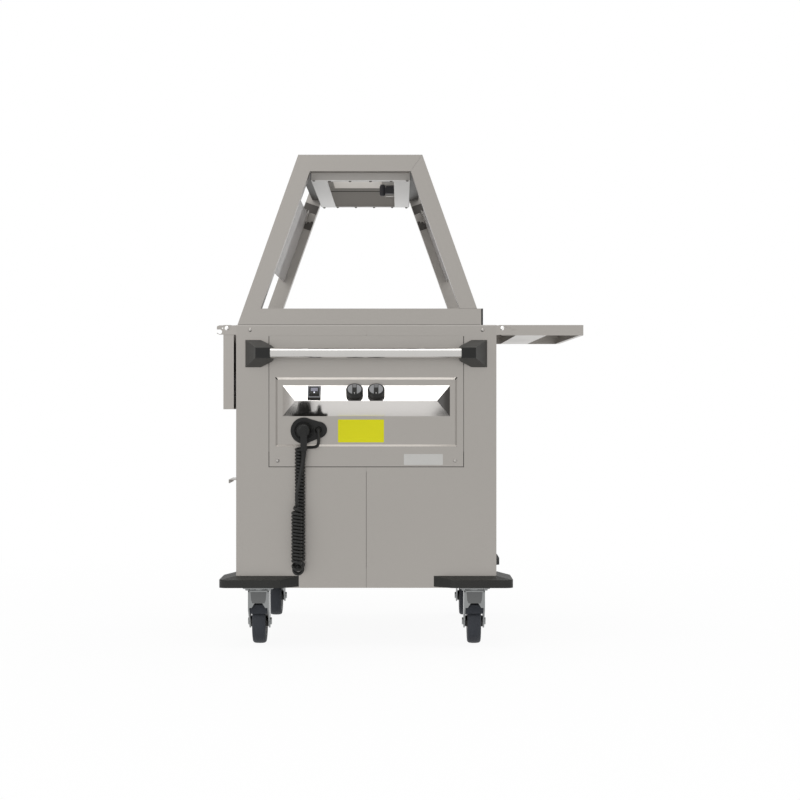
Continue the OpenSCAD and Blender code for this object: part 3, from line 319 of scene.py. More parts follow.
def make_finish(name):
    """Makes the material of one finish."""
    colours = bpy.context.scene.trolley_colours
    makers = {
        # The last number of cabinet and tube steel brightens their down-turned folds as a painted highlight
        "cabinet_steel": lambda n: sheet_steel(n, colours.steel, 0.33, (1, 1, 14), 0.04, 2.3),
        "deck_steel": lambda n: sheet_steel(n, colours.steel, 0.30, (14, 1, 1)),
        "tube_steel": lambda n: sheet_steel(n, colours.steel, 0.34, (9, 9, 2), 0.04, 1.7),
        "tray_steel": lambda n: sheet_steel(n, tone(colours.steel, 1.05), 0.32, (14, 1, 14)),
        "inner_steel": lambda n: sheet_steel(n, tone(colours.steel, 0.9), 0.42, (1, 14, 1)),
        "polished_steel": lambda n: polished_steel(n, colours.bright, 0.07),
        # The console's right end is darkened to 0.17 as painted shade
        "console_steel": lambda n: polished_steel(n, colour_of("d8d5d2"), 0.12, 0.17),
        "tube_polish": lambda n: polished_steel(n, colour_of("c6c4c1"), 0.10),
        "clamp_steel": lambda n: sheet_steel(n, colour_of("a9a6a2"), 0.25, (3, 3, 3)),
        "fixing_steel": lambda n: sheet_steel(n, colour_of("a9a6a2"), 0.4, (3, 3, 3)),
        "hanger_steel": lambda n: sheet_steel(n, colour_of("5b5855"), 0.4, (3, 9, 3)),
        "screw_steel": lambda n: polished_steel(n, colour_of("6f6d6a"), 0.25),
        "switch_frame": lambda n: plastic(n, colour_of("77787b"), 0.35, 0.1, 0.05),
        "well_steel": lambda n: sheet_steel(n, colours.bright, 0.22, (1, 1, 10), 0.02),
        "pale_steel": lambda n: sheet_steel(n, colours.pale, 0.40, (1, 14, 1), 0.02),
        "black_plastic": lambda n: plastic(n, colours.plastic, 0.42),
        "gloss_plastic": lambda n: plastic(n, colours.plastic, 0.22, 0.06),
        # Painted reflection on the knobs' faces and painted highlight on their bars' upper parts
        "knob_face": lambda n: plastic(n, colour_of("959698"), 0.4, 0.1, 0.05),
        "knob_mark": lambda n: plastic(n, colour_of("767677"), 0.4, 0.1, 0.05),
        "bumper_rubber": lambda n: plastic(n, colours.bumper, 0.55, 0.35),
        "tyre_rubber": lambda n: plastic(n, colours.tyre, 0.60, 0.3),
        "wheel_rim": lambda n: plastic(n, colours.rim, 0.45, 0.15, 0.06),
        "zinc_plate": lambda n: sheet_steel(n, colours.zinc, 0.30, (3, 3, 3), 0.06),
        # The brackets' slopes are a lighter grey than black plastic as painted light
        "bracket_plastic": lambda n: plastic(n, colour_of("343432"), 0.5, 0.15),
        # Painted shadow of the rails' joint and painted highlight of the deck's fold
        "rail_groove": lambda n: plastic(n, colour_of("85827e"), 0.6, 0.1),
        "fold_steel": lambda n: sheet_steel(n, colour_of("bab6b1"), 0.35, (1, 9, 9)),
        # Darker zinc for the forks' webs as painted shade
        "fork_web": lambda n: sheet_steel(n, colour_of("6a6b6b"), 0.4, (3, 3, 9), 0.06),
        # Darkened steel for the lamp housing's ledges as painted shade
        "ledge_steel": lambda n: sheet_steel(n, colour_of("5e5d5b"), 0.45, (3, 14, 3)),
        "tinted_glass": lambda n: window_glass(n, colours.glass, colour_of("aca8a6"), 0.02),
        "heating_plate": lambda n: sheet_steel(n, colour_of("8b8987"), 0.5, (1, 1, 1), 0.08),
        # Painted light: the lamp panel and the lamp lining glow in their own grey colour
        "lamp_panel": lambda n: enamel(n, colour_of("aca8a3"), 0.5, 0.72),
        "lamp_lining": lambda n: enamel(n, colour_of("a19e9a"), 0.45, 0.2),
        "control_body": lambda n: plastic(n, colour_of("d8d7d2"), 0.4, 0.1, 0.04),
        "yellow_plate": lambda n: enamel(n, colours.plate, 0.45),
        "silver_plate": lambda n: enamel(n, colour_of("c6c5c2"), 0.40),
        # Painted sheen on the rocker's raised half
        "switch_tint": lambda n: plastic(n, colour_of("8b8b9a"), 0.3, 0.05, 0.1),
        "white_mark": lambda n: enamel(n, colour_of("e8e8e6"), 0.45),
        "lamp_lens": lambda n: glowing(n, colour_of("f2f4ff"), 0.7),
        # Painted shade for gaps and seams: dark, and a lighter grey
        "seam_shadow": lambda n: plastic(n, colour_of("2e2c2a"), 0.7, 0.1),
        "wiring_boot": lambda n: plastic(n, colour_of("55565b"), 0.45, 0.1, 0.05),
        "seam_rubber": lambda n: plastic(n, colour_of("74716d"), 0.7, 0.1),
        "cord_jacket": lambda n: plastic(n, colours.cord, 0.38, 0.12),
    }
    return makers[name](name)


MADE_FINISHES = {}


def finish(name):
    """The material of a finish, made once."""
    if name not in MADE_FINISHES:
        MADE_FINISHES[name] = make_finish(name)
    return MADE_FINISHES[name]


def soften(obj, width):
    """Rounds the sharp edges of a piece; width in millimetres."""
    rounding = obj.modifiers.new("Rounded edges", "BEVEL")
    rounding.width = width * MM
    rounding.segments = 2
    rounding.limit_method = "ANGLE"
    rounding.angle_limit = math.radians(30)
    rounding.use_clamp_overlap = True
    rounding.harden_normals = True


def dress(names, finish_name, edge=0.0):
    """Gives CAD nodes whose shape is right a finish and rounded edges."""
    for name in names:
        obj = NODES[name]
        if not obj.material_slots:
            obj.data.materials.append(None)
        for place in obj.material_slots:
            place.material = finish(finish_name)
        if edge:
            soften(obj, edge)


def piece(name, drawing, finishes, body="trolley", replaces=(), edge=0.0, crease=32.0):
    """Turns a drawing in millimetres into a shown piece that rides on a body."""
    drawing.transform(TO_FRAME)
    bmesh.ops.recalc_face_normals(drawing, faces=drawing.faces)
    mesh = bpy.data.meshes.new(name)
    drawing.to_mesh(mesh)
    drawing.free()
    for finish_name in finishes:
        mesh.materials.append(finish(finish_name))
    mesh.shade_smooth()
    mesh.set_sharp_from_angle(angle=math.radians(crease))
    obj = bpy.data.objects.new(name, mesh)
    bpy.context.scene.collection.objects.link(obj)
    if edge:
        soften(obj, edge)
    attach(obj, body)
    if replaces:
        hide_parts(*replaces)
    return obj


def turned(drawing, profile, matrix=Matrix(), segments=48, material=0):
    """Spins (radius, height) points about Z; a radius of 0 closes the end."""
    rings = []
    for radius, height in profile:
        if radius == 0:
            rings.append([drawing.verts.new(matrix @ Vector((0, 0, height)))] * segments)
            continue
        turns = [2 * math.pi * i / segments for i in range(segments)]
        rings.append([drawing.verts.new(matrix @ Vector((radius * math.cos(a), radius * math.sin(a), height)))
                      for a in turns])
    for low, high in zip(rings, rings[1:]):
        for i in range(segments):
            j = (i + 1) % segments
            corners = list(dict.fromkeys((low[i], low[j], high[j], high[i])))
            if len(corners) > 2:
                drawing.faces.new(corners).material_index = material


def prism(drawing, outline, low, high, matrix=Matrix(), material=0):
    """Extrudes a closed outline drawn in X and Y from one height to another."""
    bottom = [drawing.verts.new(matrix @ Vector((x, y, low))) for x, y in outline]
    top = [drawing.verts.new(matrix @ Vector((x, y, high))) for x, y in outline]
    faces = [drawing.faces.new(bottom[::-1]), drawing.faces.new(top)]
    for i, corner in enumerate(bottom):
        j = (i + 1) % len(bottom)
        faces.append(drawing.faces.new((corner, bottom[j], top[j], top[i])))
    for face in faces:
        face.material_index = material


def block(drawing, size, centre, matrix=Matrix(), material=0):
    """A block by its size and centre."""
    x, y, z = (s / 2 for s in size)
    outline = [(-x, -y), (x, -y), (x, y), (-x, y)]
    prism(drawing, outline, -z, z, matrix @ Matrix.Translation(centre), material)


FRONT, DOWN = (0, -1, 0), (0, 0, -1)


def facing(point, normal, up=(0, 0, 1)):
    """A frame at a point with +Z along a normal and +Y as near to up as it can be."""
    z = Vector(normal).normalized()
    x = Vector(up).cross(z).normalized()
    turn = Matrix((x, z.cross(x), z)).transposed().to_4x4()
    return Matrix.Translation(point) @ turn


def arc(radius, start, end, steps, centre=(0, 0)):
    """Points on an arc, in degrees."""
    angles = [math.radians(start + (end - start) * i / steps) for i in range(steps + 1)]
    return [(centre[0] + radius * math.cos(a), centre[1] + radius * math.sin(a)) for a in angles]


# The supply cord's route, in the drawing's millimetres
CURLS_DOWN, CURLS_BEND, CURLS_UP = 33, 5, 16
CURLS = CURLS_DOWN + CURLS_BEND + CURLS_UP
CURL_RADIUS, CURL_PITCH, CURL_STEPS = 10.7, 9.4, 20
# The last curls close in and stretch, so that the cord leaves them without a kink
RAMP_CURLS, RAMP_STRETCH = 1.5, 20
LOOP_FOOT, LOOP_RADIUS, LOOP_LEAN = Vector((-184, -447, 245)), 27, -6.7
GLAND = Vector((-132.4, -445, 607))
LEAD_MARKS = [GLAND, (-132.4, -450, 607), (-132.4, -455, 605), (-132.4, -458, 600), (-132, -459, 592),
              (-132, -457, 583), (-132, -453, 574), (-134, -448, 566), (-139, -443, 561), (-147, -439, 559),
              (-157, -437, 558.5)]
TAIL_MARKS = [(-187.5, -494.5, 446), (-182, -484, 480), (-177, -475, 505), (-174, -470, 525),
              (-172.6, -469, 540), (-172.6, -469, 548)]
# The middle of the parked plug, seen from the front
PLUG_X, PLUG_Z = -174.3, 605.2


def eased(t):
    """A share from 0 to 1 that starts and ends gently."""
    t = min(max(t, 0.0), 1.0)
    return t * t * (3 - 2 * t)


def curl_point(turns):
    """A point of the curly stretch after a number of curls from the lead's end."""
    bend = math.pi * min(max((turns - CURLS_DOWN) / CURLS_BEND, 0), 1)
    rise = CURL_PITCH * (max(CURLS_DOWN - turns, 0) + max(turns - CURLS_DOWN - CURLS_BEND, 0))
    centre = LOOP_FOOT + Vector((LOOP_LEAN * eased(bend / math.pi), LOOP_RADIUS * (math.cos(bend) - 1),
                                 rise - LOOP_RADIUS * math.sin(bend)))
    outward = Vector((0, math.cos(bend), -math.sin(bend)))
    radius = CURL_RADIUS * eased((CURLS - turns) / RAMP_CURLS)
    angle = 2 * math.pi * turns
    stretch = Vector((0, 0, RAMP_STRETCH * max(0, (turns - CURLS) / RAMP_CURLS + 1) ** 2))
    return centre + stretch + radius * (math.cos(angle) * outward - math.sin(angle) * Vector((1, 0, 0)))


def smoothed(marks, steps=5):
    """A Catmull-Rom curve through marks."""
    marks = [Vector(m) for m in marks]
    ends = [2 * marks[0] - marks[1], *marks, 2 * marks[-1] - marks[-2]]
    route = []
    for a, b, c, d in zip(ends, ends[1:], ends[2:], ends[3:]):
        for i in range(steps):
            t = i / steps
            route.append(0.5 * (2 * b + (c - a) * t + (2 * a - 5 * b + 4 * c - d) * t * t
                                + (3 * b - a - 3 * c + d) * t ** 3))
    return route + [marks[-1]]


def cord_route():
    """Points of the whole cord, from the gland to the plug."""
    start, end = curl_point(0), curl_point(CURLS)
    along = detail("cord") * Vector((2 * math.pi * CURL_RADIUS, 0, CURL_PITCH)).normalized()
    rise = Vector((0, 0, detail("cord")))
    lead = smoothed([*LEAD_MARKS, start + 2 * along, start + along])
    curls = [curl_point(i / CURL_STEPS) for i in range(CURLS * CURL_STEPS + 1)]
    tail = smoothed([end + rise, end + 2 * rise, *TAIL_MARKS])
    return [*lead, start + along / 2, *curls, end + rise / 2, *tail]


def rod(name, points, diameter, finish_name, shares=None):
    """A round cord along points in millimetres; shares scale its radius from point to point."""
    curve = bpy.data.curves.new(name, "CURVE")
    curve.dimensions = "3D"
    curve.bevel_depth = diameter / 2 * MM
    curve.bevel_resolution = 3
    curve.use_fill_caps = True
    line = curve.splines.new("POLY")
    line.points.add(len(points) - 1)
    for place, point, share in zip(line.points, points, shares or [1.0] * len(points)):
        place.co = (*(TO_FRAME @ Vector(point)), 1)
        place.radius = share
    curve.materials.append(finish(finish_name))
    obj = bpy.data.objects.new(name, curve)
    bpy.context.scene.collection.objects.link(obj)
    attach(obj, "trolley")
    return obj


def make_plug():
    """The parked plug: a tapering body and its grip."""
    low, high = drawn_box("plug")
    front = facing((PLUG_X, high.y, PLUG_Z), FRONT)
    depth = high.y - low.y
    drawing = bmesh.new()
    turned(drawing, [(0, 0), (22, 0), (22, 3), (21.2, 4.2), (20, 5), (19.6, 12), (18.6, 22), (17.6, 30),
                     (16.4, depth - 5), (13.5, depth - 2.6), (9.5, depth - 1.6), (0, depth - 1.2)], front, 64)
    grip = [(-4, 13), (4, 13), (7, 4), (11, -14), (11, -54), (8, -57.2), (-4, -57.2), (-7.5, -54),
            (-7.5, -14), (-6, 4)]
    grip_depth = 12
    prism(drawing, grip, depth - grip_depth, depth, front)
    return piece("supply_plug", drawing, ["black_plastic"], replaces=["plug"], edge=0.8)


def make_cord():
    """The free supply cord with the pieces on it."""
    route = cord_route()
    diameter = detail("cord")
    cord = rod("supply_cord", route, diameter, "cord_jacket")
    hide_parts("cord_lead", "cord_curls", "cord_tail")
    plug = make_plug()
    # Tapered sleeves where the cord leaves the socket and the plug
    gland_points, sleeve_points = 18, 22
    gland = rod("gland_sleeve", route[:gland_points], diameter, "black_plastic",
                [1.5 - 0.025 * i for i in range(gland_points)])
    sleeve = rod("plug_sleeve", route[-sleeve_points:][::-1], diameter, "black_plastic",
                 [1.75 - 0.032 * i for i in range(sleeve_points)])
    length = sum((b - a).length for a, b in zip(route, route[1:])) * MM
    diameter * MM


# The camera's place in metres and its lens in millimetres
EYE, LENS, SENSOR = (-0.0005, -5.827, 0.6904), 87.36, 36
# How strongly the sky lights the trolley, where 1 is white
SKY = 0.72
# How white the floor is near the trolley, and the metres over which it turns fully white
FLOOR_WHITE, SHADOW_START, SHADOW_END = 0.93, 1.0, 3.0


def make_stage(scene):
    """Camera, soft lights, pale floor and white surroundings."""
    scene.view_settings.view_transform = "Standard"
    lens = bpy.data.cameras.new("Camera")
    lens.lens = LENS
    lens.sensor_width = SENSOR
    lens.clip_end = 60
    camera = bpy.data.objects.new("Camera", lens)
    camera.location = EYE
    camera.rotation_euler = (math.radians(90), 0, 0)
    scene.collection.objects.link(camera)
    scene.camera = camera

    world = scene.world or bpy.data.worlds.new("Studio")
    scene.world = world
    f = Finish("Studio", owner=world)
    seen = f.seen_rays()
    sky = f.node("ShaderNodeBackground", None, {"Color": (1, 1, 1, 1), "Strength": SKY})
    white = f.node("ShaderNodeBackground", None, {"Color": (1, 1, 1, 1), "Strength": 1.0})
    f.end(f.node("ShaderNodeMixShader", None, {0: seen, 1: sky, 2: white}))

    f = Finish("Studio floor")
    grain = f.noise(3.0, 3.0)
    tint = f.mix(grain, (0.80, 0.80, 0.80, 1), (0.84, 0.84, 0.84, 1))
    ground = f.node("ShaderNodeBsdfPrincipled", None, {"Base Color": tint, "Roughness": 0.7})
    glow = f.node("ShaderNodeEmission", None, {"Color": (1, 1, 1, 1), "Strength": 1.0})
    far = f.node("ShaderNodeVectorMath", {"operation": "LENGTH"}, {0: f.place()}, output="Value")
    fade = ((far - SHADOW_START) / (SHADOW_END - SHADOW_START)).clipped()
    share = FLOOR_WHITE + fade * (1 - FLOOR_WHITE)
    f.end(f.node("ShaderNodeMixShader", None, {0: f.seen_rays() * share, 1: ground, 2: glow}))
    drawing = bmesh.new()
    bmesh.ops.create_grid(drawing, x_segments=4, y_segments=4, size=40)
    mesh = bpy.data.meshes.new("floor")
    drawing.to_mesh(mesh)
    drawing.free()
    mesh.materials.append(f.material)
    floor = bpy.data.objects.new("floor", mesh)
    scene.collection.objects.link(floor)

    for name, place, size, power in (("Ceiling light", (0, -0.4, 4.2), 3.0, 60.0),
                                     ("Front light", (-2.8, -4.6, 3.0), 2.5, 36.0),
                                     ("Rear light", (2.6, 3.6, 3.0), 2.5, 24.0)):
        lamp = bpy.data.lights.new(name, "AREA")
        lamp.shape = "SQUARE"
        lamp.size = size
        lamp.energy = power
        obj = bpy.data.objects.new(name, lamp)
        obj.location = place
        aim = Vector((0, 0, 0.7)) - Vector(place)
        obj.rotation_euler = aim.to_track_quat("-Z", "Y").to_euler()
        scene.collection.objects.link(obj)


def make_cabinet():
    """Folded sheet of the cabinet, its deck, wells and fittings."""
    dress(["shell_left", "shell_right"], "cabinet_steel")
    dress(["deck"], "deck_steel", detail("folded_edge"))
    dress(["chassis_tray", "inner_ceiling"], "inner_steel")
    dress(["wells"], "well_steel", 0.4)
    dress(["heating_plates"], "heating_plate", 1.5)
    dress(["fixing_screws"], "fixing_steel", 0.4)
    dress(["side_button"], "bumper_rubber")
    # Painted shade: dark lines in the lowest part of the seams between the shell's halves
    low, high = drawn_box("shell_left")
    tall = 58
    seams = bmesh.new()
    for side, face in ((-1, low.y), (1, high.y)):
        block(seams, (1.2, 0.8, tall), (0, face - side * 0.3, low.z + tall / 2))
    piece("centre_seams", seams, ["seam_rubber"])


# Distances on the service panel, from the trolley's middle and from the floor
PANEL_STEP = 6
SEAM_X, SEAM_FOOT, SEAM_HEAD = 272, 503, 869
# Heights between which the seams' painted shade is a lighter grey
SEAM_GREY_SHADOW_LOW, SEAM_GREY_SHADOW_HIGH = 546, 788
RELIEF_X, RELIEF_Z = 250.5, 750.5


def make_service_panel():
    """The service panel with its raised field, painted shade in its corner reliefs and seams, and two bare
    plates.
    """
    dress(["service_panel"], "cabinet_steel", 0.9)
    dress(["thermostats"], "control_body", 0.6)
    field = drawn_box("service_panel")[0].y
    panel = field + PANEL_STEP
    # Dark blocks paint the shade in the two corner reliefs
    reliefs = bmesh.new()
    for side in (-1, 1):
        place = (side * RELIEF_X, field + PANEL_STEP / 2, RELIEF_Z)
        block(reliefs, (3.2, 9, 1.2), (0, 0, 0.4), facing(place, (side * 0.4, -1, 0.4), (side, 0, 1)))
    piece("corner_reliefs", reliefs, ["seam_shadow"])
    # Dark and grey strips in the gaps round the panel are painted shade
    seams = bmesh.new()
    middle_y, width = panel + 1, 1.8
    for side in (-1, 1):
        for bottom, top, look in ((SEAM_FOOT, SEAM_GREY_SHADOW_LOW, 0), (SEAM_GREY_SHADOW_LOW, SEAM_GREY_SHADOW_HIGH, 1),
                                  (SEAM_GREY_SHADOW_HIGH, SEAM_HEAD, 0)):
            middle_z = (bottom + top) / 2
            block(seams, (width, 1, top - bottom), (side * SEAM_X, middle_y, middle_z), material=look)
    block(seams, (2 * SEAM_X + 2, 1, width), (0, middle_y, SEAM_FOOT + 0.6))
    piece("panel_seam_shadows", seams, ["seam_shadow", "seam_rubber"])
    make_plate("yellow_plate", field, (-79, 49.5), (572, 636))
    make_plate("silver_plate", panel, (105, 214), (509, 539.5))


def make_plate(name, face, across, upright):
    """A bare plate with round corners, stuck on a face that looks to the front."""
    corner = 2
    half_w, half_h = (across[1] - across[0]) / 2 - corner, (upright[1] - upright[0]) / 2 - corner
    corners = ((half_w, half_h), (-half_w, half_h), (-half_w, -half_h), (half_w, -half_h))
    outline = [point for i, centre in enumerate(corners)
               for point in arc(corner, 90 * i, 90 * i + 90, 4, centre)]
    drawing = bmesh.new()
    prism(drawing, outline, 0, detail("plate"), facing((sum(across) / 2, face, sum(upright) / 2), FRONT))
    piece(name, drawing, [name], edge=0.15)


# Height of the middle of the console's sloping face, and the places of its switch and knobs along it
CONSOLE_Z, SWITCH_X = 709.5, -144
KNOB_X = {"left": -32, "right": 28}


def console_face(x):
    """A frame on the middle of the console's sloping upper face."""
    low, high = drawn_box("control_console")
    return facing((x, (low.y + high.y) / 2, CONSOLE_Z), (0, -1, 1))


def make_console():
    """The console's cover, and the main switch: its grey frame, its rocker and two lenses."""
    dress(["control_console"], "console_steel", 0.6)
    face = console_face(SWITCH_X)
    frame_form = bmesh.new()
    wide, tall, rim = 18.2, 22.6, 4.2
    for side in (-1, 1):
        block(frame_form, (rim, 2 * tall, 6), (side * (wide - rim / 2), 0, 3.2), face)
        block(frame_form, (2 * (wide - rim), rim, 6), (0, side * (tall - rim / 2), 3.2), face)
    block(frame_form, (2 * wide - 1, 1.2, 5), (0, -tall - 0.6, 2.7), face, 1)
    block(frame_form, (2 * wide - 1, 0.6, 5), (0, tall + 0.3, 2.7), face)
    block(frame_form, (27, 39, 12), (0, 0, -11.5), face, 1)
    piece("switch_frame", frame_form, ["switch_frame", "black_plastic"], replaces=["switch_bezel"],
          edge=0.5)
    rocker = bmesh.new()
    turn = face @ Matrix.Rotation(math.radians(90), 4, "Y") @ Matrix.Rotation(math.radians(90), 4, "Z")
    side_view = [(-16.2, 0.5), (-16.2, 2.6), (-14, 3.4), (0, 3.8), (14, 5.6), (16.2, 5.8), (16.2, 0.5)]
    half_width = 12.2
    prism(rocker, side_view, -half_width, half_width, turn)
    # The field of painted lilac sheen lies on the raised half, which slopes 1.8 mm over 14 mm
    block(rocker, (19, 12, 0.5), (0, 9, 5.05), face @ Matrix.Rotation(math.radians(7.3), 4, "X"), 1)
    for y in (-5, -8.5, -12):
        block(rocker, (19, 1.2, 0.5), (0, y, 3.5), face, 2)
    piece("switch_key", rocker, ["gloss_plastic", "switch_tint", "black_plastic"], body="main_rocker",
          replaces=["switch_rocker"], edge=0.3)
    lenses = bmesh.new()
    for rise in (-0.7, 12.9):
        surface = 3.8 + max(0, rise) * 0.13
        turned(lenses, [(2.2, surface - 0.6), (2.2, surface + 0.9), (1.5, surface + 1.3), (0, surface + 1.4)],
               face @ Matrix.Translation((0, rise, 0)), 20)
    piece("switch_lamps", lenses, ["lamp_lens"], body="main_rocker")


def d_shape(radius, inner, side, steps=14):
    """The part of a disc beyond a straight bar, left (-1) or right (1) of it."""
    half = math.degrees(math.acos(inner / radius))
    points = arc(radius, -half, half, steps)
    return points if side > 0 else [(-x, y) for x, y in reversed(points)]


def make_knob(side):
    """One thermostat knob: a black drum with two faces beside its grip bar painted pale as a reflection, and
    a painted highlight on the bar's upper part.
    """
    node = "knob_" + side
    face = console_face(KNOB_X[side])
    drawing = bmesh.new()
    drum = [(0, 0.5), (23.2, 0.5), (23.75, 1.2), (23.75, 14.2), (22.9, 15.4), (21, 16), (0, 16)]
    turned(drawing, drum, face, 72)
    # Pale grey D faces: painted reflection on the knob's upward-tilted face
    for way in (-1, 1):
        prism(drawing, d_shape(19.2, 6.4, way), 15.2, 16.25, face, 1)
    bar = arc(4.2, 200, 340, 6, (0, -15.2)) + [(5.9, 18.4), (-5.9, 18.4)]
    prism(drawing, bar, 15.2, 16.9, face)
    # Lighter grey on the bar's upper part: painted highlight
    prism(drawing, [(-5.2, 5.5), (5.2, 5.5), (5.2, 19.2), (-5.2, 19.2)], 16.2, 17.2, face, 2)
    turned(drawing, [(1.6, 16.8), (1.4, 17.1), (0, 17.15)], face @ Matrix.Translation((0, -16.4, 0)), 16, 3)
    turned(drawing, [(3.0, 0.5), (3.0, -11.5), (0, -11.5)], face, 16)
    piece("thermostat_" + node, drawing, ["black_plastic", "knob_face", "knob_mark", "white_mark"],
          body="knob_body_" + side, replaces=[node], edge=0.4)


def make_socket():
    """The parking socket with a collar round the plug and a ring round the cord."""
    dress(["parking_socket"], "black_plastic", detail("sheet_edge"))
    seat_y = drawn_box("parking_socket")[1].y - 8
    drawing = bmesh.new()
    collar = [(24.5, -0.5), (24.5, 3.5), (25.5, 4.6), (27, 4.6), (28, 3.6), (28.4, -0.5)]
    turned(drawing, collar, facing((PLUG_X, seat_y, PLUG_Z), FRONT), 64)
    ring = [(8, -0.5), (8, 3), (9.2, 4), (10.6, 3), (11, -0.5)]
    turned(drawing, ring, facing((GLAND.x, seat_y, GLAND.z), FRONT), 40)
    piece("socket_collar", drawing, ["black_plastic"])


def make_handle():
    """The handle tube and its two moulded brackets, each a block that narrows to the tube's end."""
    dress(["handle_tube"], "tube_polish")
    low, high = drawn_box("handle_brackets")
    drawing = bmesh.new()
    left, middle_z = low.x, (low.z + high.z) / 2
    tall = high.z - middle_z
    for side in (-1, 1):
        foot = [(left, tall), (left + 43, tall), (left + 73, tall - 15), (left + 78, tall - 20)]
        boss = [(left + 34, 15), (left + 74, 15)]
        corners = [(x, y, middle_z + way * z) for way in (-1, 1) for points, y in (
            (foot, high.y), (foot, high.y - 4), (boss, low.y)) for x, z in points]
        verts = [drawing.verts.new((-side * x, y, z)) for x, y, z in corners]
        bmesh.ops.convex_hull(drawing, input=verts)
        # The slopes' lighter grey and this thin black front plate are painted light and shade on one black
        # moulding
        block(drawing, (38, 0.4, 27), (-side * (left + 54), low.y - 0.1, middle_z), material=1)
    bmesh.ops.dissolve_limit(drawing, angle_limit=math.radians(1), verts=drawing.verts, edges=drawing.edges)
    piece("moulded_brackets", drawing, ["bracket_plastic", "black_plastic"], replaces=["handle_brackets"],
          edge=detail("moulded_edge"))


def make_bumpers():
    """The four corner bumpers."""
    dress(["corner_bumpers"], "bumper_rubber", 1.6)


CASTER_Y = 365
# Underside of the top plates, and half the distances between their bolts
PLATE_Z, BOLT_X, BOLT_Y = 161.5, 30, 40


def make_wheel(place):
    """One wheel: crowned tread, dished rim and hub covers."""
    node = "wheel_" + place
    low, high = drawn_box(node)
    centre = (low + high) / 2
    axle = facing(centre, (1, 0, 0))
    drawing = bmesh.new()
    tread = [(46.5, 17.2), (50, 18.5), (54, 19), (57.5, 18.4), (60.2, 16.2), (61.7, 12.5), (62.3, 7),
             (62.5, 0)]
    turned(drawing, [(r, -h) for r, h in tread] + tread[-2::-1], axle, 96)
    disc = [(12.5, 25), (15, 25), (15, 11), (17, 8.5), (21, 6.8), (34, 6.0), (40, 7.4), (43, 10), (44, 16.4),
            (45, 17.4), (46.6, 17.4)]
    turned(drawing, [(12.5, -25)] + [(r, -h) for r, h in disc[1:]], axle, 96, 1)
    turned(drawing, disc, axle, 96, 1)
    hub = [(6.1, 24.6), (14.2, 24.6), (15.6, 23.2), (16.6, 19), (16.6, 12)]
    for side in (-1, 1):
        turned(drawing, [(r, side * h) for r, h in hub], axle, 48, 2)
    piece("caster_" + node, drawing, ["tyre_rubber", "wheel_rim", "black_plastic"],
          body="wheel_body_" + place, replaces=[node])


def make_casters():
    """Swivel casters: pressed forks, mounting bolts, wheels and brake pedals."""
    places = ("front_left", "front_right", "rear_left", "rear_right")
    dress(["caster_plates"] + ["fork_" + p for p in places], "zinc_plate", detail("sheet_edge"))
    dress(["brake_pedal_left", "brake_pedal_right"], "tyre_rubber", detail("moulded_edge"))
    bolts = bmesh.new()
    for place in places:
        make_wheel(place)
        low, high = drawn_box("fork_" + place)
        x = (low.x + high.x) / 2
        y = math.copysign(CASTER_Y, low.y + high.y)
        for bolt_x in (x - BOLT_X, x + BOLT_X):
            for bolt_y in (y - BOLT_Y, y + BOLT_Y):
                down = facing((bolt_x, bolt_y, PLATE_Z), DOWN, (0, 1, 0))
                turned(bolts, [(8, -0.2), (8, 1.2), (7.4, 1.4), (0, 1.4)], down, 28)
                turned(bolts, [(6.4, 1.2), (6.4, 4.6), (5.6, 5.2), (0, 5.2)], down, 6)
        # A darker plate on each fork's front paints the shade of its recessed web
        web = bmesh.new()
        outline = [(-22.5, 151), (-20.5, 128), (-17, 119), (17, 119), (20.5, 128), (22.5, 151)]
        prism(web, outline, -0.2, 0.5, facing((x, low.y, 0), FRONT))
        piece("fork_web_" + place, web, ["fork_web"], body="caster_" + place, edge=0.2)
    piece("caster_bolts", bolts, ["zinc_plate"], crease=20)


def make_bridge():
    """The bridge of square tube, its end caps, and a painted shadow line and painted highlight line along the
    joint between its foot rails and the deck.
    """
    dress(["frame_front", "frame_rear", "frame_right_legs"], "tube_steel", detail("folded_edge"))
    dress(["frame_end_caps"], "black_plastic", detail("moulded_edge"))
    low, high = drawn_box("frame_front")
    deck_low, deck_high = drawn_box("deck")
    joints = bmesh.new()
    # A painted shadow line at the rails' feet and a painted highlight line on the deck's fold below it
    for face in (deck_low.y, deck_high.y):
        y = face + math.copysign(0.1, face)
        block(joints, (high.x - low.x - 6, 0.6, 1.8), ((low.x + high.x) / 2, y, deck_high.z + 0.9))
        block(joints, (deck_high.x - deck_low.x - 4, 0.6, 2), (0, y, deck_high.z - 2), material=1)
    piece("rail_joint_shading", joints, ["rail_groove", "fold_steel"], edge=0.1)


# Heights on the lamp housing, from the floor
COVER_Z, LEDGE_Z, LINING_SEAM_Z = 1308, 1331.8, 1359
# Distances of its cover screws from its middle
LONG_ROW_X, LONG_ROW_Y = (-88, -30, 28, 86), 371.5
CORNER_X, CORNER_Y = 131.5, 383.5


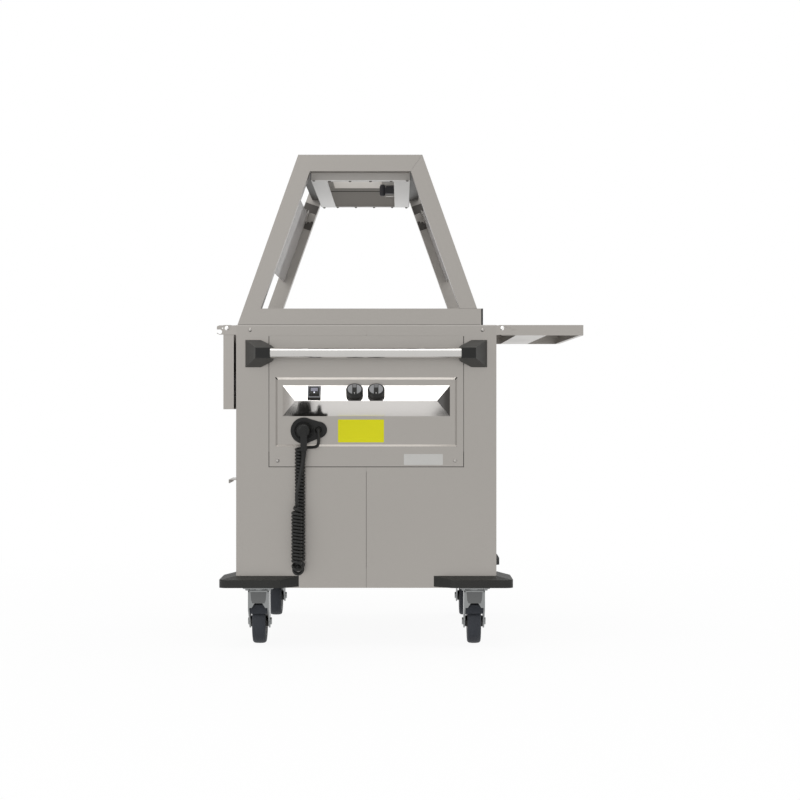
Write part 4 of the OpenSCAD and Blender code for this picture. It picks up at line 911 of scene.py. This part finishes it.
def make_lamp_housing():
    """Lamp housing with its ledges, cover, radiant panel, switch, wiring and screws."""
    # The lining and the radiant panel take finishes that glow in their own grey as painted light
    dress(["lamp_housing"], "lamp_lining", 0.6)
    dress(["lamp_cover"], "pale_steel", 0.5)
    dress(["lamp_panel"], "lamp_panel", detail("sheet_edge"))
    dress(["lamp_switch_bezel", "lamp_rocker"], "gloss_plastic", 0.4)
    low, high = drawn_box("lamp_housing")
    centre = (low + high) / 2
    reach, length, sheet = high.x - centre.x, high.y - low.y - 2, 1.5
    ledges, cover_screws = bmesh.new(), bmesh.new()
    for side in (-1, 1):
        block(ledges, (31, length, sheet), (centre.x + side * (reach + 15.6), centre.y, LEDGE_Z))
        block(ledges, (sheet, length, 22), (centre.x + side * (reach + 0.8), centre.y, LEDGE_Z - 11.8))
    # The ledges' darker steel is painted shade
    piece("housing_ledges", ledges, ["ledge_steel"], edge=0.3)
    places = [(u * CORNER_X, v * CORNER_Y) for u in (-1, 1) for v in (-1, 1)]
    places += [(u, v * LONG_ROW_Y) for v in (-1, 1) for u in LONG_ROW_X]
    for u, v in places:
        down = facing((centre.x + u, centre.y + v, COVER_Z), DOWN, (0, 1, 0))
        turned(cover_screws, [(4.2, -0.3), (4.2, 0.8), (3.4, 2.0), (1.6, 2.8), (0, 3.0)], down, 20)
    piece("cover_screws", cover_screws, ["screw_steel"])
    seam = bmesh.new()
    block(seam, (232, 0.8, 1.6), (centre.x - 18, high.y - 2.2, LINING_SEAM_Z))
    piece("lining_seam", seam, ["seam_shadow"])
    make_lamp_wiring()


def make_lamp_wiring():
    """The body behind the lamp's switch, the boot on its wires and the clips that hold them."""
    low, high = drawn_box("lamp_switch_bezel")
    y, z = (low.y + high.y) / 2, (low.z + high.z) / 2
    back, inner = low.x, 48
    body = bmesh.new()
    block(body, (back - inner, 26, 26), ((back + inner) / 2, y, z + 2))
    boot = [(0, -18), (5, -17.5), (8, -15), (9, -11), (9, 12), (7, 15), (7, 18), (0, 18)]
    turned(body, boot, Matrix.Translation((inner - 8, y, z)), 32)
    piece("switch_body", body, ["wiring_boot"], edge=detail("moulded_edge"))
    clips = bmesh.new()
    for rise in (-20, 12):
        block(clips, (24, 6, 0.8), (inner + 14, y - 18, z + rise))
        block(clips, (0.8, 6, 6), (inner + 2, y - 18, z + rise - 3))
    piece("wiring_clips", clips, ["polished_steel"], edge=0.2)


def make_guards():
    """Tinted panes with their clamps, bearing plates and notched plates."""
    dress(["pane_left", "pane_right"], "tinted_glass", 0.6)
    dress(["pane_clamps_left", "pane_clamps_right"], "clamp_steel", 0.4)
    dress(["bearing_plates"], "hanger_steel", 0.6)
    dress(["notch_plates"], "cabinet_steel", 0.4)


def make_doors():
    """The two doors of the left side with their hinge pins."""
    dress(["door_front", "door_rear"], "cabinet_steel", detail("sheet_edge"))
    dress(["door_pins"], "polished_steel", 0.3)


def make_trays():
    """The two tray slides with their support arms and pivot bolts."""
    dress(["tray_left", "tray_right", "tray_arms"], "tray_steel", 0.5)
    dress(["pivot_bolts_left", "pivot_bolts_right"], "polished_steel", 0.3)


class TROLLEY_OT_stage(bpy.types.Operator):
    """Sets up the camera, the soft lights, the floor and the white surroundings"""
    bl_idname = "trolley.stage"
    bl_label = "Stage"

    def execute(self, context):
        make_stage(context.scene)
        return {"FINISHED"}


class TROLLEY_OT_cord(bpy.types.Operator):
    """Lays the curly supply cord and its parked plug"""
    bl_idname = "trolley.cord"
    bl_label = "Supply cord"

    def execute(self, context):
        make_cord()
        return {"FINISHED"}


class TROLLEY_OT_cabinet(bpy.types.Operator):
    """Finishes the cabinet, its deck and the wells"""
    bl_idname = "trolley.cabinet"
    bl_label = "Cabinet and wells"

    def execute(self, context):
        make_cabinet()
        return {"FINISHED"}


class TROLLEY_OT_service_panel(bpy.types.Operator):
    """Finishes the service panel, makes its bare plates and paints shade in its seams"""
    bl_idname = "trolley.service_panel"
    bl_label = "Service panel"

    def execute(self, context):
        make_service_panel()
        return {"FINISHED"}


class TROLLEY_OT_console(bpy.types.Operator):
    """Finishes the control console and makes its main switch"""
    bl_idname = "trolley.console"
    bl_label = "Control console"

    def execute(self, context):
        make_console()
        return {"FINISHED"}


class TROLLEY_OT_knobs(bpy.types.Operator):
    """Makes the two thermostat knobs"""
    bl_idname = "trolley.knobs"
    bl_label = "Thermostat knobs"

    def execute(self, context):
        for side in KNOB_X:
            make_knob(side)
        return {"FINISHED"}


class TROLLEY_OT_socket(bpy.types.Operator):
    """Finishes the parking socket and makes the collar round the plug"""
    bl_idname = "trolley.socket"
    bl_label = "Parking socket"

    def execute(self, context):
        make_socket()
        return {"FINISHED"}


class TROLLEY_OT_handle(bpy.types.Operator):
    """Finishes the push handle and makes its brackets"""
    bl_idname = "trolley.handle"
    bl_label = "Push handle"

    def execute(self, context):
        make_handle()
        return {"FINISHED"}


class TROLLEY_OT_bumpers(bpy.types.Operator):
    """Finishes the corner bumpers"""
    bl_idname = "trolley.bumpers"
    bl_label = "Corner bumpers"

    def execute(self, context):
        make_bumpers()
        return {"FINISHED"}


class TROLLEY_OT_casters(bpy.types.Operator):
    """Makes the wheels and the mounting bolts, and finishes the swivel casters"""
    bl_idname = "trolley.casters"
    bl_label = "Swivel casters"

    def execute(self, context):
        make_casters()
        return {"FINISHED"}


class TROLLEY_OT_bridge(bpy.types.Operator):
    """Finishes the bridge's frames and paints a shadow and a highlight along their joints to the deck"""
    bl_idname = "trolley.bridge"
    bl_label = "Bridge"

    def execute(self, context):
        make_bridge()
        return {"FINISHED"}


class TROLLEY_OT_lamp_housing(bpy.types.Operator):
    """Finishes the lamp housing and makes its ledges, screws and wiring"""
    bl_idname = "trolley.lamp_housing"
    bl_label = "Lamp housing"

    def execute(self, context):
        make_lamp_housing()
        return {"FINISHED"}


class TROLLEY_OT_guards(bpy.types.Operator):
    """Finishes the tilting sneeze guards and their bearings"""
    bl_idname = "trolley.guards"
    bl_label = "Sneeze guards"

    def execute(self, context):
        make_guards()
        return {"FINISHED"}


class TROLLEY_OT_doors(bpy.types.Operator):
    """Finishes the hinged doors"""
    bl_idname = "trolley.doors"
    bl_label = "Doors"

    def execute(self, context):
        make_doors()
        return {"FINISHED"}


class TROLLEY_OT_trays(bpy.types.Operator):
    """Finishes the folding tray slides"""
    bl_idname = "trolley.trays"
    bl_label = "Tray slides"

    def execute(self, context):
        make_trays()
        return {"FINISHED"}


STEPS = (
    TROLLEY_OT_stage, TROLLEY_OT_cord, TROLLEY_OT_cabinet, TROLLEY_OT_service_panel, TROLLEY_OT_console,
    TROLLEY_OT_knobs, TROLLEY_OT_socket, TROLLEY_OT_handle, TROLLEY_OT_bumpers, TROLLEY_OT_casters,
    TROLLEY_OT_bridge, TROLLEY_OT_lamp_housing, TROLLEY_OT_guards, TROLLEY_OT_doors, TROLLEY_OT_trays,
)


class TROLLEY_PT_panel(bpy.types.Panel):
    """Lists the trolley's settings and pieces"""
    bl_idname = "TROLLEY_PT_panel"
    bl_label = "Buffet trolley"
    bl_space_type = "VIEW_3D"
    bl_region_type = "UI"
    bl_category = "Trolley"

    def draw(self, context):
        for group in (context.scene.trolley_colours, context.scene.trolley_sizes):
            for name in group.__annotations__:
                self.layout.prop(group, name)
        for step in STEPS:
            self.layout.operator(step.bl_idname)


CLASSES = (TrolleyColours, TrolleySizes, *STEPS, TROLLEY_PT_panel)


def register():
    for cls in CLASSES:
        bpy.utils.register_class(cls)
    bpy.types.Scene.trolley_colours = bpy.props.PointerProperty(type=TrolleyColours)
    bpy.types.Scene.trolley_sizes = bpy.props.PointerProperty(type=TrolleySizes)


def unregister():
    del bpy.types.Scene.trolley_sizes
    del bpy.types.Scene.trolley_colours
    for cls in reversed(CLASSES):
        bpy.utils.unregister_class(cls)


def main():
    """Builds the trolley."""
    register()
    for step in STEPS:
        family, name = step.bl_idname.split(".")
        getattr(getattr(bpy.ops, family), name)()


if __name__ == "__main__":
    main()
